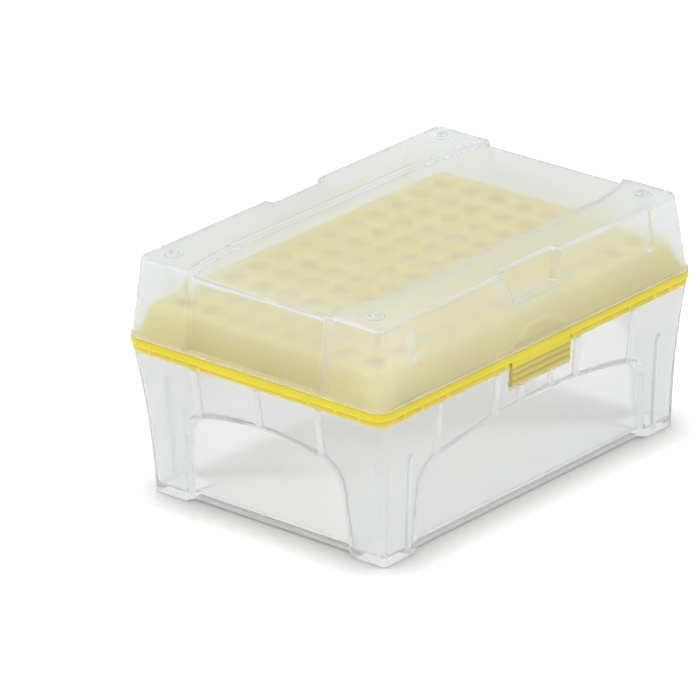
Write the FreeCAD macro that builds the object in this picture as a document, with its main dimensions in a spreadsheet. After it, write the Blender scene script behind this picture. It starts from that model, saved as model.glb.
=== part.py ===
"""Pipette tip box: a clear base, a yellow tray with 96 tip holes and a frosted lid on a back hinge.

Units are millimetres. X runs along the long side, the latch faces -Y, the hinge is on +Y and the
feet stand on Z = 0. Each sub-part is a PartDesign body whose sketches and features are bound to
the cells of the spreadsheet "sizes".
"""

import FreeCAD, Part
import math
import os
import re

import Sketcher

Vector = FreeCAD.Vector

SIZES = [
    # the standard grid of 96 tips
    ("hole_pitch", 9, "distance between neighbouring tip holes"),
    ("hole_columns", 12, "holes along X"),
    ("hole_rows", 8, "holes along Y"),
    ("hole_radius", 2.8, "bore that a tip's collar sits in"),
    # allowances
    ("cut_past", 1, "how far cuts run past the faces that they leave by"),
    ("backing_inset", 0.1, "how far the thickened end walls stay inside the outer faces"),
    # the rims that meet at the parting line
    ("rim_length", 122, "tray flange and lid lip along X"),
    ("rim_width", 85.6, "tray flange and lid lip along Y"),
    ("rim_corner", 4.5, "corner radius of both rims"),
    # clear base
    ("base_foot_length", 113.2, "base along X at the feet"),
    ("base_foot_width", 77.4, "base along Y at the feet"),
    ("base_foot_corner", 1.5, "corner radius at the feet"),
    ("base_top_length", 121, "base along X at its rim"),
    ("base_top_width", 84.8, "base along Y at its rim"),
    ("base_top_corner", 3.7, "corner radius at its rim"),
    ("base_height", 40.9, "floor to rim of the base"),
    ("base_wall", 1.3, "base wall thickness"),
    ("floor_thickness", 1.3, "base floor thickness"),
    ("foot_lift", 0.8, "how far the feet stand below the floor"),
    ("panel_recess", 1.6, "depth of the arched panels"),
    ("long_panel_foot", 45.2, "half width of a long side's panel at the floor"),
    ("long_panel_shoulder", 44.8, "half width where its corner starts"),
    ("long_panel_side", 17.5, "height where its corner starts"),
    ("long_panel_crown", 38.5, "half width where its arch starts"),
    ("long_panel_spring", 24.6, "height where its arch starts"),
    ("long_panel_arch", 190, "radius of its arch"),
    ("end_panel_foot", 27.3, "half width of an end's panel at the floor"),
    ("end_panel_shoulder", 26.7, "half width where its corner starts"),
    ("end_panel_side", 17.5, "height where its corner starts"),
    ("end_panel_crown", 20.5, "half width where its arch starts"),
    ("end_panel_spring", 26.1, "height where its arch starts"),
    ("end_panel_arch", 72, "radius of its arch"),
    ("panel_corner", 8, "radius of the panels' upper corners"),
    ("wall_rib_width", 1.6, "thickness of the ribs inside the walls"),
    ("wall_rib_depth", 0.9, "how far the ribs stand out of the walls"),
    ("wall_rib_foot", 25, "lower end of the ribs"),
    ("wall_rib_top", 38.5, "upper end of the ribs"),
    ("long_rib_outer", 37.8, "place of a long side's outer ribs"),
    ("long_rib_middle", 15.8, "place of its middle ribs"),
    ("long_rib_inner", 6, "place of its inner ribs"),
    ("end_rib_outer", 20.5, "place of an end's outer ribs"),
    ("leg_rib_place", 48.1, "distance of the leg ribs from the middle"),
    ("leg_rib_radius", 1, "half width of a leg rib"),
    ("leg_rib_foot", 1.8, "lower end of a leg rib"),
    ("leg_rib_top", 27.5, "upper end of its straight part"),
    ("leg_rib_depth", 0.6, "how far a leg rib stands out"),
    ("notch_half", 12, "half width of the notch for the tray's tab"),
    ("notch_foot", 33, "lower edge of that notch"),
    # yellow tray
    ("seat_gap", 0.05, "gap between the base rim and the tray flange"),
    ("flange_thickness", 2.15, "tray flange"),
    ("flange_edge", 0.5, "bevel of its lower edge"),
    ("locating_length", 117.8, "locating skirt along X"),
    ("locating_width", 81.6, "locating skirt along Y"),
    ("locating_corner", 2.1, "its corner radius"),
    ("locating_depth", 1.5, "how far it reaches into the base"),
    ("riser_length", 118, "raised skirt along X at its foot"),
    ("riser_width", 82, "raised skirt along Y at its foot"),
    ("riser_corner", 3.5, "its corner radius at the foot"),
    ("deck_length", 113, "deck along X"),
    ("deck_width", 77, "deck along Y"),
    ("deck_corner", 3.5, "corner radius of the deck"),
    ("deck_height", 51.2, "top of the deck"),
    ("deck_thickness", 1.6, "deck plate"),
    ("tray_wall", 1.5, "tray walls"),
    ("riser_flat", 56.2, "distance of the raised skirt's end flats from the middle"),
    ("riser_flat_half", 23.5, "half width of the end flats"),
    ("tab_half", 11.3, "half width of the latch tab"),
    ("tab_back", 40.5, "distance of its inner face from the middle"),
    ("tab_front", 42.3, "distance of the ridges' roots from the middle"),
    ("tab_lean", 0.1, "step back from one ridge to the next"),
    ("tab_ridge", 1.75, "height of one ridge"),
    ("tab_ridge_radius", 1.2, "roundness of one ridge"),
    ("tab_top", 39.3, "top of the upper ridge"),
    ("tab_root", 0.5, "how deep the tab is let into the flange"),
    # frosted lid
    ("lid_gap", 0.1, "gap between the tray flange and the lid lip"),
    ("lip_thickness", 0.9, "lid lip"),
    ("lid_foot_length", 121, "lid along X at the lip"),
    ("lid_foot_width", 84.8, "lid along Y at the lip"),
    ("lid_foot_corner", 4.1, "corner radius at the lip"),
    ("lid_top_length", 115.6, "lid along X at the top"),
    ("lid_top_width", 80.6, "lid along Y at the top"),
    ("lid_top_corner", 3, "corner radius at the top"),
    ("lid_height", 64.2, "top of the lid's shoulders"),
    ("lid_wall", 1.2, "lid walls"),
    ("lid_edge", 0.7, "bevel of the lid's top edge"),
    ("window_depth", 1.3, "how far the window lies below the shoulders"),
    ("window_half", 26, "half width of the window in the middle"),
    ("window_straight", 32, "half length of its straight edge"),
    ("window_bend", 90, "radius of its edges towards the ends"),
    ("window_end_half", 22.2, "half width of the window at the ends"),
    ("window_end", 58, "where the bent edges end"),
    ("end_flat_top", 57.05, "distance of the lid's end flats at the top"),
    ("end_flat_foot", 58.24, "distance of the end flats at their ledge"),
    ("end_flat_ledge", 44.5, "height of that ledge"),
    ("end_flat_half", 21.3, "half width of the end flats"),
    ("end_flat_wall", 1, "wall of the end flats"),
    ("window_edge", 1.2, "rounding between window and end flats"),
    ("grip_half_top", 10.2, "half width of the finger grips at the top"),
    ("grip_half_foot", 8.5, "half width of the finger grips at the ledge"),
    ("grip_foot", 55.8, "height of the grips' ledge"),
    ("grip_depth", 2.5, "depth of the grips"),
    ("scoop_half", 10, "half width of the thumb scoop over the latch"),
    ("scoop_foot", 44.6, "lower edge of the scoop"),
    ("scoop_radius", 14, "radius of its upper edge"),
    ("scoop_depth", 0.5, "depth of the scoop"),
    ("nub_along", 51.6, "place of the stacking nubs along X"),
    ("nub_across", 33.4, "place of the stacking nubs along Y"),
    ("nub_radius", 2.3, "stacking nub"),
    ("nub_height", 0.6, "height of a nub"),
    ("dimple_radius", 1, "dimple in a nub"),
    ("lid_rib_place", 45.4, "place of the ribs inside the lid's long walls"),
    ("lid_rib_width", 2.2, "their thickness"),
    ("lid_rib_depth", 1, "how far they stand out of the walls"),
    ("lid_rib_foot", 52.2, "their lower end"),
    # moulded hinge at the back
    ("hinge_place", 32, "distance of each hinge from the middle"),
    ("hinge_back", 45.5, "distance of the hinge axis from the middle"),
    ("hinge_axis_height", 42, "height of the hinge axis"),
    ("ear_radius", 2.3, "round end of the base's ears"),
    ("ear_thickness", 2, "each ear"),
    ("ear_foot", 31.5, "lower end of an ear on the back wall"),
    ("ear_shoulder", 40.3, "height of its shoulder under the rim"),
    ("lug_width", 6, "the lid's lug between two ears"),
    ("lug_gap", 0.2, "side play of a lug"),
    ("lug_radius", 2.2, "round end of a lug"),
    ("lug_lift", 0.1, "how far a lug's arm stands above the lip's underside"),
    ("lug_brace", 46, "height where a lug's brace meets the lid"),
    ("pin_radius", 1.2, "stub pins on the lug"),
    ("pin_clearance", 0.05, "radial play of the pins in the ears"),
]
ALIASES = {alias for alias, size, note in SIZES}

ALONG_X = "X_Axis"
ALONG_Y = "Y_Axis"
FROM_ABOVE = "XY_Plane"
FROM_FRONT = "XZ_Plane"
FROM_SIDE = "YZ_Plane"
SAME_PLACE = 0.01  # faces and edges closer than this lie in one place

doc = FreeCAD.newDocument("pipette_tip_box")
sheet = doc.addObject("Spreadsheet::Sheet", "sizes")
for row, (alias, size, note) in enumerate(SIZES, start=1):
    sheet.set(f"A{row}", alias)
    sheet.set(f"B{row}", str(size))
    sheet.set(f"C{row}", note)
    sheet.setAlias(f"B{row}", alias)
doc.recompute()


def spelled(text):
    """An expression with every alias pointed at the spreadsheet."""
    return re.sub(r"[a-z_]+", lambda word: f"sizes.{word[0]}" if word[0] in ALIASES else word[0], text)


def value(text):
    """The present value of an expression in the spreadsheet's aliases."""
    return float(sheet.evalExpression(spelled(text)))


def bind(thing, place, text):
    """Drives one property or constraint by an expression."""
    thing.setExpression(place, spelled(text))


# ---------------------------------------------------------------- sketches


def datum(body, role):
    """The body's own origin plane or axis of that role."""
    return next(item for item in body.Origin.OriginFeatures if item.Role == role)


def new_sketch(body, name, plane, height="0", lean=None):
    """An empty sketch on an origin plane, moved along its normal and leaning back if asked."""
    sketch = body.newObject("Sketcher::SketchObject", name)
    sketch.AttachmentSupport = [(datum(body, plane), "")]
    sketch.MapMode = "FlatFace"
    if lean:
        axis = Vector(1, 0, 0)
        sketch.AttachmentOffset = FreeCAD.Placement(Vector(), FreeCAD.Rotation(axis, value(lean)))
        bind(sketch, "AttachmentOffset.Rotation.Angle", lean)
    if height != "0":
        bind(sketch, "AttachmentOffset.Base.z", height)
    return sketch


def tie_point(sketch, curve, end, across, up):
    """Ties one end of a curve to its distances from the sketch's two axes."""
    for axis, kind, distance in ((-2, "DistanceX", across), (-1, "DistanceY", up)):
        if distance == "0":
            sketch.addConstraint(Sketcher.Constraint("PointOnObject", curve, end, axis))
            continue
        size = distance.removeprefix("-")
        points = (curve, end, -1, 1) if distance.startswith("-") else (-1, 1, curve, end)
        number = sketch.addConstraint(Sketcher.Constraint(kind, *points, value(size)))
        bind(sketch, f"Constraints[{number}]", size)


def signed(distance):
    """The value of a distance that may start with a minus sign."""
    if distance.startswith("-"):
        return -value(distance[1:])
    return value(distance)


def arc_through(start, end, radius):
    """The anticlockwise arc of that radius from start to end, under half a turn."""
    half = (end - start) * 0.5
    rise = math.sqrt(radius**2 - half.Length**2)
    centre = start + half + Vector(-half.y, half.x, 0).normalize() * rise
    circle = Part.Circle(centre, Vector(0, 0, 1), radius)
    return Part.ArcOfCircle(circle, circle.parameter(start), circle.parameter(end))


def add_loop(sketch, corners, rounds=None):
    """A closed anticlockwise outline; rounds gives the radius of each edge that is an arc."""
    rounds = rounds or {}
    points = [Vector(signed(across), signed(up), 0) for across, up in corners]
    first = sketch.GeometryCount
    for number, start in enumerate(points):
        end = points[(number + 1) % len(points)]
        if number in rounds:
            sketch.addGeometry(arc_through(start, end, value(rounds[number])), False)
        else:
            sketch.addGeometry(Part.LineSegment(start, end), False)
    for number, (across, up) in enumerate(corners):
        curve = first + number
        before = first + (number - 1) % len(corners)
        sketch.addConstraint(Sketcher.Constraint("Coincident", before, 2, curve, 1))
        tie_point(sketch, curve, 1, across, up)
    for number, radius in rounds.items():
        tied = sketch.addConstraint(Sketcher.Constraint("Radius", first + number, value(radius)))
        bind(sketch, f"Constraints[{tied}]", radius)


def add_circle(sketch, across, up, radius):
    """A circle tied to the sketch's axes."""
    centre = Vector(signed(across), signed(up), 0)
    curve = sketch.addGeometry(Part.Circle(centre, Vector(0, 0, 1), value(radius)), False)
    tie_point(sketch, curve, 3, across, up)
    tied = sketch.addConstraint(Sketcher.Constraint("Radius", curve, value(radius)))
    bind(sketch, f"Constraints[{tied}]", radius)


def rounded_rectangle(body, name, height, length, width, corner):
    """A rounded rectangle seen from above, centred on the Z axis."""
    sketch = new_sketch(body, name, FROM_ABOVE, height)
    x_end = f"(({length})/2)"
    x_flat = f"(({length})/2 - ({corner}))"
    y_end = f"(({width})/2)"
    y_flat = f"(({width})/2 - ({corner}))"
    corners = [
        ("-" + x_flat, "-" + y_end),
        (x_flat, "-" + y_end),
        (x_end, "-" + y_flat),
        (x_end, y_flat),
        (x_flat, y_end),
        ("-" + x_flat, y_end),
        ("-" + x_end, y_flat),
        ("-" + x_end, "-" + y_flat),
    ]
    add_loop(sketch, corners, {1: corner, 3: corner, 5: corner, 7: corner})
    return sketch


def add_rectangle(sketch, left, right, foot, top):
    """An upright rectangle between four distances from the sketch's axes."""
    add_loop(sketch, [(left, foot), (right, foot), (right, top), (left, top)])


# ---------------------------------------------------------------- features


def finish_feature(body, feature):
    """Recomputes, makes the feature the body's tip and stops if it failed."""
    body.Tip = feature
    doc.recompute()
    if "Invalid" in feature.State or "Error" in feature.State:
        raise RuntimeError(f"{body.Label}: {feature.Name} failed")
    return feature


def extrude(body, kind, name, sketch, length, backwards=False, both_ways=False):
    """A pad or pocket of a sketch, driven by one length."""
    feature = body.newObject(f"PartDesign::{kind}", name)
    feature.Profile = sketch
    bind(feature, "Length", length)
    feature.Reversed = backwards
    if both_ways:
        feature.SideType = "Symmetric"
    return finish_feature(body, feature)


def loft(body, kind, name, low, high):
    """A straight-sided loft, added or taken away."""
    feature = body.newObject(f"PartDesign::{kind}", name)
    feature.Profile = low
    feature.Sections = [(high, [""])]
    feature.Ruled = True
    return finish_feature(body, feature)


def mirror(body, name, originals, plane):
    """The same features on the other side of an origin plane."""
    feature = body.newObject("PartDesign::Mirrored", name)
    feature.Originals = originals
    feature.MirrorPlane = (datum(body, plane), [""])
    return finish_feature(body, feature)


def dress_edges(body, kind, name, size, wanted):
    """A fillet or chamfer on the tip's edges for which wanted(edge) is true."""
    base = body.Tip
    names = [f"Edge{number}" for number, edge in enumerate(base.Shape.Edges, start=1) if wanted(edge)]
    feature = body.newObject(f"PartDesign::{kind}", name)
    feature.Base = (base, names)
    bind(feature, "Radius" if kind == "Fillet" else "Size", size)
    return finish_feature(body, feature)


def lies_level(edge, height):
    """Whether an edge lies all along that height."""
    box = edge.BoundBox
    return abs(box.ZMin - height) < SAME_PLACE and abs(box.ZMax - height) < SAME_PLACE


def new_body(label):
    """A body of its own; the boxes' depth is centred about the hinge's reach."""
    body = doc.addObject("PartDesign::Body", label)
    body.Label = label
    bind(body, "Placement.Base.y", "-(hinge_back + ear_radius - rim_width/2)/2")
    return body


# ---------------------------------------------------------------- clear base


def base_side(body, side, plane, foot_width, top_width, panel, ribs, legs):
    """One wall's arched panel, inner ribs and leg ribs, and their mirror image opposite."""
    lean = f"atan(({top_width} - {foot_width}) / 2 / base_height)"
    out = f"{foot_width}/2"

    def outline(name, grow, foot):
        sketch = new_sketch(body, name, plane, out, lean)
        across = {key: f"({panel}_{key} + {grow})" for key in ("foot", "shoulder", "crown")}
        side_height = f"({panel}_side + {grow})"
        spring = f"({panel}_spring + {grow})"
        corners = [
            ("-" + across["foot"], foot),
            (across["foot"], foot),
            (across["shoulder"], side_height),
            (across["crown"], spring),
            ("-" + across["crown"], spring),
            ("-" + across["shoulder"], side_height),
        ]
        corner = f"(panel_corner + {grow})"
        add_loop(sketch, corners, {2: corner, 3: f"({panel}_arch + {grow})", 4: corner})
        return sketch

    bulge = outline(f"{side}_bulge_outline", "base_wall", "foot_lift")
    parts = [extrude(body, "Pad", f"{side}_bulge", bulge, "panel_recess + base_wall", True)]
    rib_sketch = new_sketch(body, f"{side}_rib_outlines", plane, out, lean)
    half = "wall_rib_width/2"
    for place in ribs:
        if place == "0":
            add_rectangle(rib_sketch, f"-({half})", f"({half})", "wall_rib_foot", "wall_rib_top")
            continue
        near = f"({place} - {half})"
        far = f"({place} + {half})"
        add_rectangle(rib_sketch, near, far, "wall_rib_foot", "wall_rib_top")
        add_rectangle(rib_sketch, "-" + far, "-" + near, "wall_rib_foot", "wall_rib_top")
    parts.append(extrude(body, "Pad", f"{side}_ribs", rib_sketch, "base_wall + wall_rib_depth", True))
    recess = outline(f"{side}_panel_outline", "0", "-(foot_lift)")
    parts.append(extrude(body, "Pocket", f"{side}_panel", recess, "panel_recess"))
    if legs:
        leg_sketch = new_sketch(body, f"{side}_leg_rib_outlines", plane, out, lean)
        for sign in ("-", ""):
            near = sign + "(leg_rib_place - leg_rib_radius)"
            far = sign + "(leg_rib_place + leg_rib_radius)"
            left, right = (far, near) if sign else (near, far)
            corners = [
                (left, "leg_rib_foot"),
                (right, "leg_rib_foot"),
                (right, "leg_rib_top"),
                (sign + "leg_rib_place", "(leg_rib_top + leg_rib_radius)"),
                (left, "leg_rib_top"),
            ]
            add_loop(leg_sketch, corners, {2: "leg_rib_radius", 3: "leg_rib_radius"})
        parts.append(extrude(body, "Pad", f"{side}_leg_ribs", leg_sketch, "leg_rib_depth"))
    return parts


def hinge_ears(body):
    """Two pairs of bored ears on the back wall that hold the lid's stub pins."""
    spacing = "(lug_width/2 + lug_gap)"
    ears = []
    wall = "(base_top_width/2 - base_wall/2)"
    for side, offset in (
        ("inner", f"hinge_place - {spacing} - ear_thickness"),
        ("outer", f"hinge_place + {spacing}"),
    ):
        sketch = new_sketch(body, f"{side}_ear_outline", FROM_SIDE, offset)
        corners = [
            ("(base_top_width/2 - base_wall)", "ear_foot"),
            ("(hinge_back + ear_radius)", "hinge_axis_height"),
            ("hinge_back", "(hinge_axis_height + ear_radius)"),
            ("(hinge_back - ear_radius)", "hinge_axis_height"),
            ("(hinge_back - ear_radius)", "ear_shoulder"),
            (wall, "ear_shoulder"),
        ]
        add_loop(sketch, corners, {1: "ear_radius", 2: "ear_radius"})
        add_circle(sketch, "hinge_back", "hinge_axis_height", "(pin_radius + pin_clearance)")
        ears.append(extrude(body, "Pad", f"{side}_ear", sketch, "ear_thickness"))
    mirror(body, "other_ears", ears, FROM_SIDE)


def make_base():
    """The clear base: tapered tub, arched panels, ribs, feet, tab notch and hinge ears."""
    body = new_body("base_box")
    foot = rounded_rectangle(
        body, "foot_outline", "0", "base_foot_length", "base_foot_width", "base_foot_corner"
    )
    rim = rounded_rectangle(
        body, "rim_outline", "base_height", "base_top_length", "base_top_width", "base_top_corner"
    )
    loft(body, "AdditiveLoft", "tub", foot, rim)

    floor = "(foot_lift + floor_thickness)"

    def at_floor(foot_size, top_size):
        return f"{foot_size} + ({top_size} - {foot_size}) * {floor} / base_height"

    low = rounded_rectangle(
        body,
        "floor_outline",
        floor,
        at_floor("base_foot_length", "base_top_length") + " - 2*base_wall",
        at_floor("base_foot_width", "base_top_width") + " - 2*base_wall",
        at_floor("base_foot_corner", "base_top_corner") + " - base_wall",
    )
    high = rounded_rectangle(
        body,
        "mouth_outline",
        "base_height",
        "base_top_length - 2*base_wall",
        "base_top_width - 2*base_wall",
        "base_top_corner - base_wall",
    )
    loft(body, "SubtractiveLoft", "tub_inside", low, high)

    long_side = base_side(
        body,
        "long",
        FROM_FRONT,
        "base_foot_width",
        "base_top_width",
        "long_panel",
        ("long_rib_outer", "long_rib_middle", "long_rib_inner"),
        True,
    )
    mirror(body, "other_long_side", long_side, FROM_FRONT)
    end_side = base_side(
        body,
        "end",
        FROM_SIDE,
        "base_foot_length",
        "base_top_length",
        "end_panel",
        ("0", "end_rib_outer"),
        False,
    )
    mirror(body, "other_end_side", end_side, FROM_SIDE)

    underside = new_sketch(body, "underside_outline", FROM_ABOVE)
    along = "(base_top_length/2)"
    across = "(base_top_width/2)"
    bay = "long_panel_foot"
    end_bay = "end_panel_foot"
    corners = [
        ("-" + along, "-" + end_bay),
        ("-" + bay, "-" + end_bay),
        ("-" + bay, "-" + across),
        (bay, "-" + across),
        (bay, "-" + end_bay),
        (along, "-" + end_bay),
        (along, end_bay),
        (bay, end_bay),
        (bay, across),
        ("-" + bay, across),
        ("-" + bay, end_bay),
        ("-" + along, end_bay),
    ]
    add_loop(underside, corners)
    extrude(body, "Pocket", "underside", underside, "foot_lift", True)

    notch = new_sketch(body, "notch_outline", FROM_FRONT, "base_top_width/2 + cut_past")
    add_rectangle(notch, "-notch_half", "notch_half", "notch_foot", "(base_height + cut_past)")
    extrude(body, "Pocket", "tab_notch", notch, "base_wall + wall_rib_depth + 2*cut_past")
    hinge_ears(body)
    return body


# ---------------------------------------------------------------- yellow tray

FLANGE_FOOT = "(base_height + seat_gap)"
FLANGE_TOP = "(base_height + seat_gap + flange_thickness)"


def make_tray():
    """The tray: flange, locating skirt, raised deck with 96 holes and the ridged latch tab."""
    body = new_body("tip_tray")
    flange = rounded_rectangle(body, "flange_outline", FLANGE_FOOT, "rim_length", "rim_width", "rim_corner")
    extrude(body, "Pad", "flange", flange, "flange_thickness")
    dress_edges(
        body, "Chamfer", "flange_edges", "flange_edge", lambda edge: lies_level(edge, value(FLANGE_FOOT))
    )

    foot = rounded_rectangle(body, "riser_foot", FLANGE_TOP, "riser_length", "riser_width", "riser_corner")
    top = rounded_rectangle(body, "deck_outline", "deck_height", "deck_length", "deck_width", "deck_corner")
    loft(body, "AdditiveLoft", "riser", foot, top)
    locating = rounded_rectangle(
        body, "locating_outline", FLANGE_FOOT, "locating_length", "locating_width", "locating_corner"
    )
    extrude(body, "Pad", "locating_skirt", locating, "locating_depth", True)

    below = rounded_rectangle(
        body,
        "skirt_inside_outline",
        FLANGE_FOOT + " - locating_depth",
        "riser_length - 2*tray_wall",
        "riser_width - 2*tray_wall",
        "riser_corner - tray_wall",
    )
    extrude(body, "Pocket", "skirt_inside", below, "locating_depth + flange_thickness", True)
    rise = f"(deck_height - {FLANGE_TOP})"
    reach = f"({rise} - deck_thickness) / {rise}"

    def under_deck(foot_size, top_size):
        return f"{foot_size} + ({top_size} - {foot_size}) * {reach}"

    low = rounded_rectangle(
        body,
        "riser_inside_foot",
        FLANGE_TOP,
        "riser_length - 2*tray_wall",
        "riser_width - 2*tray_wall",
        "riser_corner - tray_wall",
    )
    high = rounded_rectangle(
        body,
        "riser_inside_top",
        "deck_height - deck_thickness",
        under_deck("riser_length", "deck_length") + " - 2*tray_wall",
        under_deck("riser_width", "deck_width") + " - 2*tray_wall",
        under_deck("riser_corner", "deck_corner") + " - tray_wall",
    )
    loft(body, "SubtractiveLoft", "riser_inside", low, high)

    thicken = new_sketch(body, "end_backing_outline", FROM_FRONT)
    outer_top = "(deck_length/2 - backing_inset)"
    corners = [
        ("(riser_flat - tray_wall)", FLANGE_FOOT),
        ("(riser_length/2 - tray_wall/2)", FLANGE_FOOT),
        ("(riser_length/2 - tray_wall/2)", FLANGE_TOP),
        (outer_top, "(deck_height - deck_thickness/2)"),
        ("(riser_flat - tray_wall)", "(deck_height - deck_thickness/2)"),
    ]
    add_loop(thicken, corners)
    backing = extrude(body, "Pad", "end_backing", thicken, "2*(riser_flat_half + tray_wall)", False, True)
    shave = new_sketch(body, "end_flat_outline", FROM_FRONT)
    add_rectangle(
        shave, "riser_flat", "(riser_length/2 + cut_past)", FLANGE_TOP, "(deck_height + cut_past)"
    )
    flat = extrude(body, "Pocket", "end_flat", shave, "2*riser_flat_half", False, True)
    mirror(body, "other_end_flat", [backing, flat], FROM_SIDE)

    hole = new_sketch(body, "hole_outline", FROM_ABOVE, "deck_height + cut_past")
    add_circle(hole, "-(hole_pitch*(hole_columns - 1)/2)", "-(hole_pitch*(hole_rows - 1)/2)", "hole_radius")
    tip_hole = extrude(body, "Pocket", "tip_hole", hole, "deck_thickness + 2*cut_past")
    grid = body.newObject("PartDesign::LinearPattern", "tip_holes")
    grid.Originals = [tip_hole]
    grid.Direction = (datum(body, ALONG_X), [""])
    bind(grid, "Length", "hole_pitch*(hole_columns - 1)")
    bind(grid, "Occurrences", "hole_columns")
    grid.Direction2 = (datum(body, ALONG_Y), [""])
    bind(grid, "Length2", "hole_pitch*(hole_rows - 1)")
    bind(grid, "Occurrences2", "hole_rows")
    finish_feature(body, grid)

    tab = new_sketch(body, "tab_outline", FROM_SIDE)
    root = f"({FLANGE_FOOT} + tab_root)"
    face = "-(rim_width/2 - flange_edge/2)"
    corners = [("-tab_back", root), (face, root), (face, "tab_top")]
    rounds = {}
    for ridge in range(4):
        if ridge < 3:
            rounds[len(corners)] = "tab_ridge_radius"
        corners.append((f"-(tab_front - {ridge}*tab_lean)", f"(tab_top - {ridge}*tab_ridge)"))
    corners.append(("-tab_back", "(tab_top - 3*tab_ridge)"))
    add_loop(tab, corners, rounds)
    extrude(body, "Pad", "latch_tab", tab, "2*tab_half", False, True)
    return body


# ---------------------------------------------------------------- frosted lid

LID_FOOT = "(base_height + seat_gap + flange_thickness + lid_gap)"
LONG_WALL_LEAN = f"((lid_foot_width - lid_top_width) / 2 / (lid_height - {LID_FOOT}))"
END_FLAT_LEAN = "((end_flat_foot - end_flat_top) / (lid_height - end_flat_ledge))"
WINDOW_HEIGHT = "(lid_height - window_depth)"


def long_wall_at(height, inset):
    """Distance of the lid's long wall from the middle at a height, less an inset."""
    return f"(lid_foot_width/2 - ({height} - {LID_FOOT})*{LONG_WALL_LEAN} - {inset})"


def end_flat_at(height, inset):
    """Distance of the lid's end flat from the middle at a height, less an inset."""
    return f"(end_flat_top + {END_FLAT_LEAN}*(lid_height - {height}) - {inset})"


def lid_outline(body, name, height, inset, bevel="0"):
    """The cover's rounded outline at a height, inset from its outer face."""
    part_way = f"(({height} - {LID_FOOT})/(lid_height - {LID_FOOT}))"

    def along(foot_size, top_size, times):
        return f"{foot_size} + ({top_size} - {foot_size})*{part_way} - {times}*({inset} + {bevel})"

    return rounded_rectangle(
        body,
        name,
        height,
        along("lid_foot_length", "lid_top_length", 2),
        along("lid_foot_width", "lid_top_width", 2),
        along("lid_foot_corner", "lid_top_corner", 1),
    )


def lid_shell(body):
    """The hollow tapered cover with its bevelled top edge and its lip."""
    foot = lid_outline(body, "lid_foot_outline", LID_FOOT, "0")
    shoulder = lid_outline(body, "lid_shoulder_outline", "(lid_height - lid_edge)", "0")
    loft(body, "AdditiveLoft", "cover", foot, shoulder)
    edge = lid_outline(body, "lid_edge_outline", "(lid_height - lid_edge)", "0")
    top = lid_outline(body, "lid_top_outline", "lid_height", "0", "lid_edge")
    loft(body, "AdditiveLoft", "cover_bevel", edge, top)
    lip = rounded_rectangle(body, "lip_outline", LID_FOOT, "rim_length", "rim_width", "rim_corner")
    extrude(body, "Pad", "lip", lip, "lip_thickness")
    mouth = lid_outline(body, "lid_mouth_outline", LID_FOOT, "lid_wall")
    ceiling = lid_outline(body, "lid_ceiling_outline", "(lid_height - lid_wall)", "lid_wall")
    loft(body, "SubtractiveLoft", "cover_inside", mouth, ceiling)


def window_outline(body, name, height, grow, end):
    """The window's outline from above: straight in the middle and bent in towards both ends."""
    half = f"(window_half + {grow})"
    end_half = f"(window_end_half + {grow})"
    right = [("window_straight", "-" + half), ("window_end", "-" + end_half)]
    left = [("-window_straight", half), ("-window_end", end_half)]
    rounds = {1: "window_bend", 3: "window_bend", 5: "window_bend", 7: "window_bend"}
    if end != "window_end":
        right += [(end, "-" + end_half), (end, end_half)]
        left += [("-" + end, end_half), ("-" + end, "-" + end_half)]
        rounds = {1: "window_bend", 5: "window_bend", 7: "window_bend", 11: "window_bend"}
    right += [("window_end", end_half), ("window_straight", half)]
    left += [("-window_end", "-" + end_half)]
    sketch = new_sketch(body, name, FROM_ABOVE, height)
    add_loop(sketch, [("-window_straight", "-" + half)] + right + left, rounds)
    return sketch


def lid_window(body):
    """The low window between the shoulders and the low flats in the end walls."""
    under = f"({WINDOW_HEIGHT} - lid_wall)"
    backing = window_outline(body, "window_backing_outline", under, "lid_wall", "window_end")
    extrude(body, "Pad", "window_backing", backing, "window_depth + lid_wall/2")

    behind = new_sketch(body, "end_backing_outline", FROM_FRONT)
    ledge = "(end_flat_ledge - end_flat_wall)"
    inside_cover = "(lid_foot_length/2 - 3*backing_inset)"
    corners = [
        (end_flat_at(ledge, "end_flat_wall"), ledge),
        (inside_cover, ledge),
        (inside_cover, "end_flat_ledge"),
        ("(lid_top_length/2 - backing_inset)", WINDOW_HEIGHT),
        (end_flat_at(WINDOW_HEIGHT, "end_flat_wall"), WINDOW_HEIGHT),
    ]
    add_loop(behind, corners)
    width = "2*(end_flat_half + end_flat_wall)"
    pad = extrude(body, "Pad", "end_backing", behind, width, False, True)
    outside = "(rim_length/2 + cut_past)"
    above = "(lid_height + cut_past)"
    front = new_sketch(body, "end_flat_outline", FROM_FRONT)
    corners = [
        (end_flat_at("end_flat_ledge", "0"), "end_flat_ledge"),
        (outside, "end_flat_ledge"),
        (outside, above),
        (end_flat_at(above, "0"), above),
    ]
    add_loop(front, corners)
    flat = extrude(body, "Pocket", "end_flat", front, "2*end_flat_half", False, True)
    mirror(body, "other_end_flat", [pad, flat], FROM_SIDE)

    opening = window_outline(body, "window_outline", "lid_height", "0", outside)
    extrude(body, "Pocket", "window", opening, "window_depth")
    edge_place = value(end_flat_at(WINDOW_HEIGHT, "0"))

    def window_end_edge(edge):
        box = edge.BoundBox
        places = (abs(box.XMin), abs(box.XMax))
        return lies_level(edge, value(WINDOW_HEIGHT)) and all(
            abs(place - edge_place) < SAME_PLACE for place in places
        )

    dress_edges(body, "Fillet", "window_end_edges", "window_edge", window_end_edge)


def on_long_wall(body, name):
    """A sketch on the front long wall, its heights measured up the slope from the lip."""
    sketch = new_sketch(body, name, FROM_FRONT, "lid_foot_width/2", f"-atan({LONG_WALL_LEAN})")
    bind(sketch, "AttachmentOffset.Base.y", LID_FOOT)
    return sketch


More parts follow.
